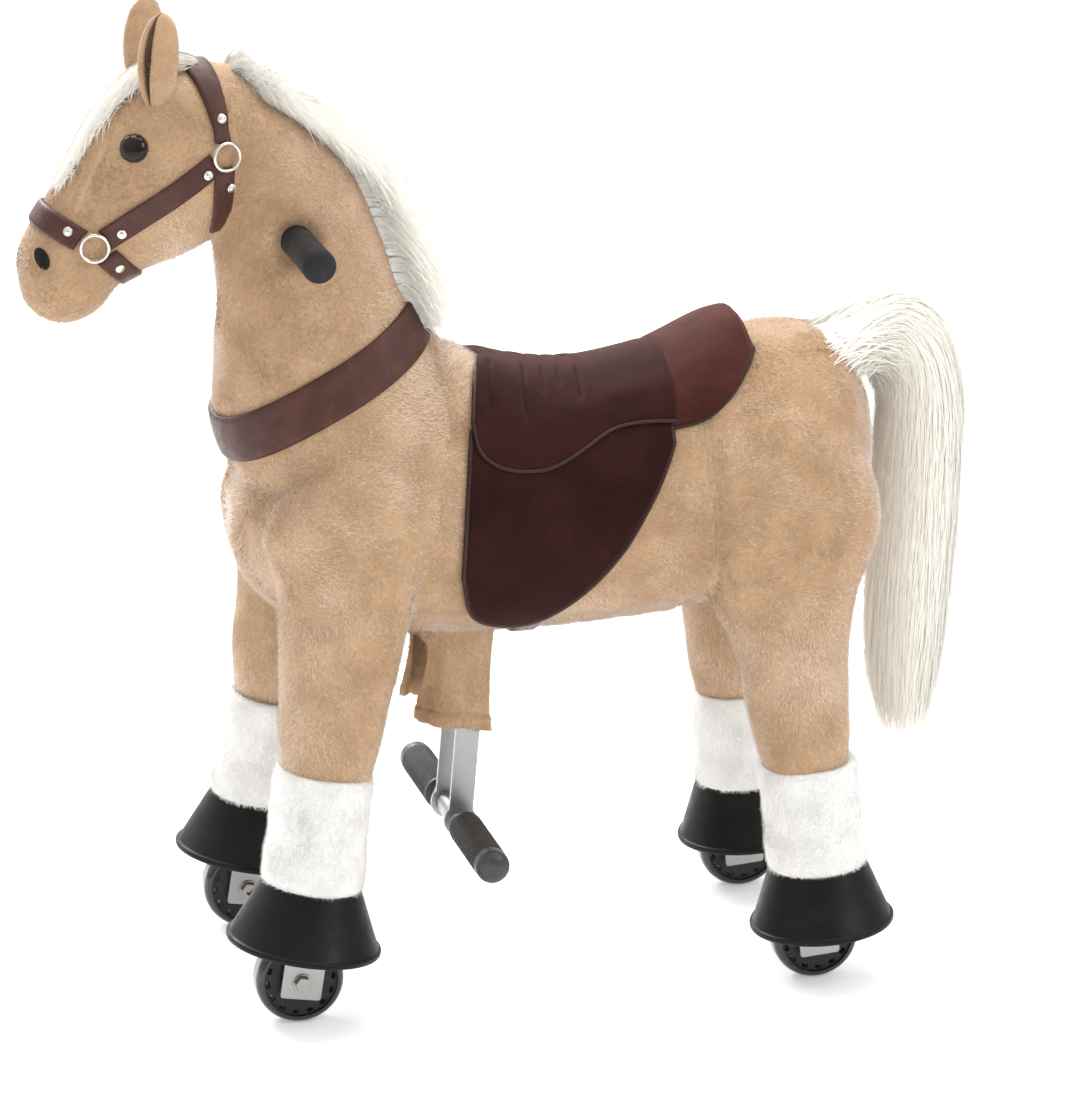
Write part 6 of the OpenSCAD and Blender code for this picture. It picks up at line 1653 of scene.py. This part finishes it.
class HORSE_OT_gear(bpy.types.Operator):
    """Finishes of the wheels, brackets, footrest arm and the frame inside"""

    bl_idname = "horse.gear"
    bl_label = "Running gear"

    def execute(self, context):
        corners = [f"{e}_{s}" for e in ("front", "rear") for s in ("left", "right")]
        dress("tyre", "wheel_tyre", *(f"tyre_{c}" for c in corners))
        dress("hub", "hub_plastic", *(f"hub_{c}" for c in corners))
        dress("steel", "steel", "fork_left", "fork_right", "rear_brackets", "lever_plates", "foot_bar",
              "handlebar")
        dress("bolt", "steel", "front_axle_left", "front_axle_right", "rear_axles")
        dress("frame", "frame_paint", "main_frame", "steering_column", "front_shaft", "rear_shaft",
              "front_leg_tubes", "rear_leg_tubes", "lever_bolt", "lever_spacers", "lever_link", "gait_link")
        dress("board", "board", "seat_board")
        return {"FINISHED"}


class HORSE_OT_stage(bpy.types.Operator):
    """Pale floor, soft studio light and the camera"""

    bl_idname = "horse.stage"
    bl_label = "Stage"

    def lamp(self, name, place, aim, size, watts):
        """A rectangular lamp at a place, aimed at a point."""
        data = bpy.data.lights.new(name, "AREA")
        data.shape = "RECTANGLE"
        data.size, data.size_y = size
        data.energy = watts
        obj = bpy.data.objects.new(name, data)
        bpy.context.scene.collection.objects.link(obj)
        obj.location = place
        way = np.array(aim, float) - np.array(place, float)
        obj.rotation_euler = Vector(way).to_track_quat("-Z", "Y").to_euler()

    def floor(self, tint):
        """A wide pale plane that glows faintly, a little below the wheels."""
        f = Finish("floor_pale")
        pale = f.done(f.mix(f.noise(0.8, 3), shade(tint, 0.985), tint), 0.6, None, Specular_IOR_Level=0.2,
                      Emission_Color=(1, 1, 1, 1), Emission_Strength=0.3)
        steps = np.linspace(-FLOOR_HALF, FLOOR_HALF, 9)
        x, y = np.meshgrid(steps, steps, indexing="ij")
        plane = np.stack([x, y, np.full_like(x, FLOOR_Z)], -1).reshape(-1, 3)
        build("floor", (plane, [grid(9, 9, False)]), [pale], None, False)

    def sky(self, scene):
        """Light from all round that grows along a slope: a constant plus a dot product with the direction."""
        world = bpy.data.worlds.new("studio")
        scene.world = world
        world.use_nodes = True
        tree = world.node_tree
        sky = tree.nodes["Background"]
        sky.inputs[0].default_value = (1.0, 0.99, 0.975, 1.0)
        way = tree.nodes.new("ShaderNodeTexCoord")
        slope = tree.nodes.new("ShaderNodeVectorMath")
        slope.operation = "DOT_PRODUCT"
        slope.inputs[1].default_value = (-0.13, 0.27, 0.3)
        bright = tree.nodes.new("ShaderNodeMath")
        bright.inputs[1].default_value = 0.76
        tree.links.new(way.outputs["Generated"], slope.inputs[0])
        tree.links.new(slope.outputs["Value"], bright.inputs[0])
        tree.links.new(bright.outputs[0], sky.inputs[1])

    def camera(self, scene):
        """The camera, at its angles and distance from the point that it aims at."""
        az, el = math.radians(CAMERA_AZ), math.radians(CAMERA_EL)
        back = Vector((math.cos(el) * math.sin(az), -math.cos(el) * math.cos(az), math.sin(el)))
        data = bpy.data.cameras.new("camera")
        data.sensor_width = 36
        data.lens = CAMERA_LENS
        camera = bpy.data.objects.new("camera", data)
        scene.collection.objects.link(camera)
        camera.location = Vector(CAMERA_AIM) + back * CAMERA_AWAY
        camera.rotation_euler = (-back).to_track_quat("-Z", "Y").to_euler()
        scene.camera = camera

    def execute(self, context):
        scene = context.scene
        self.floor(tuple(scene.horse_sizes.floor_colour))
        self.sky(scene)
        self.lamp("key", (2.2, -2.0, 2.6), (0, 0, 0.45), (1.6, 1.6), 42)
        self.lamp("top", (0.2, 0.5, 3.0), (0, 0, 0.5), (2.4, 1.6), 48)
        self.lamp("back", (-0.8, 2.6, 2.2), (0, 0, 0.6), (2.0, 1.4), 95)
        scene.view_settings.view_transform = "Standard"
        self.camera(scene)
        return {"FINISHED"}


class HORSE_PT_panel(bpy.types.Panel):
    """Lists the horse's pieces in the order in which they are made"""

    bl_idname = "HORSE_PT_panel"
    bl_label = "Horse"
    bl_space_type = "VIEW_3D"
    bl_region_type = "UI"
    bl_category = "Horse"

    def draw(self, context):
        for key in HorseSizes.__annotations__:
            self.layout.prop(context.scene.horse_sizes, key)
        for op in OPERATORS:
            self.layout.operator(op.bl_idname)


OPERATORS = (HORSE_OT_stage, HORSE_OT_gear, HORSE_OT_plush, HORSE_OT_face, HORSE_OT_hair, HORSE_OT_socks,
             HORSE_OT_saddle, HORSE_OT_tack, HORSE_OT_grips)
CLASSES = (HorseSizes, *OPERATORS, HORSE_PT_panel)


def register():
    for c in CLASSES:
        bpy.utils.register_class(c)
    bpy.types.Scene.horse_sizes = bpy.props.PointerProperty(type=HorseSizes)


def unregister():
    del bpy.types.Scene.horse_sizes
    for c in reversed(CLASSES):
        bpy.utils.unregister_class(c)


def main():
    """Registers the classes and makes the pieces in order."""
    register()
    bpy.ops.horse.stage()
    bpy.ops.horse.gear()
    bpy.ops.horse.plush()
    bpy.ops.horse.face()
    bpy.ops.horse.hair()
    bpy.ops.horse.socks()
    bpy.ops.horse.saddle()
    bpy.ops.horse.tack()
    bpy.ops.horse.grips()


if __name__ == "__main__":
    main()
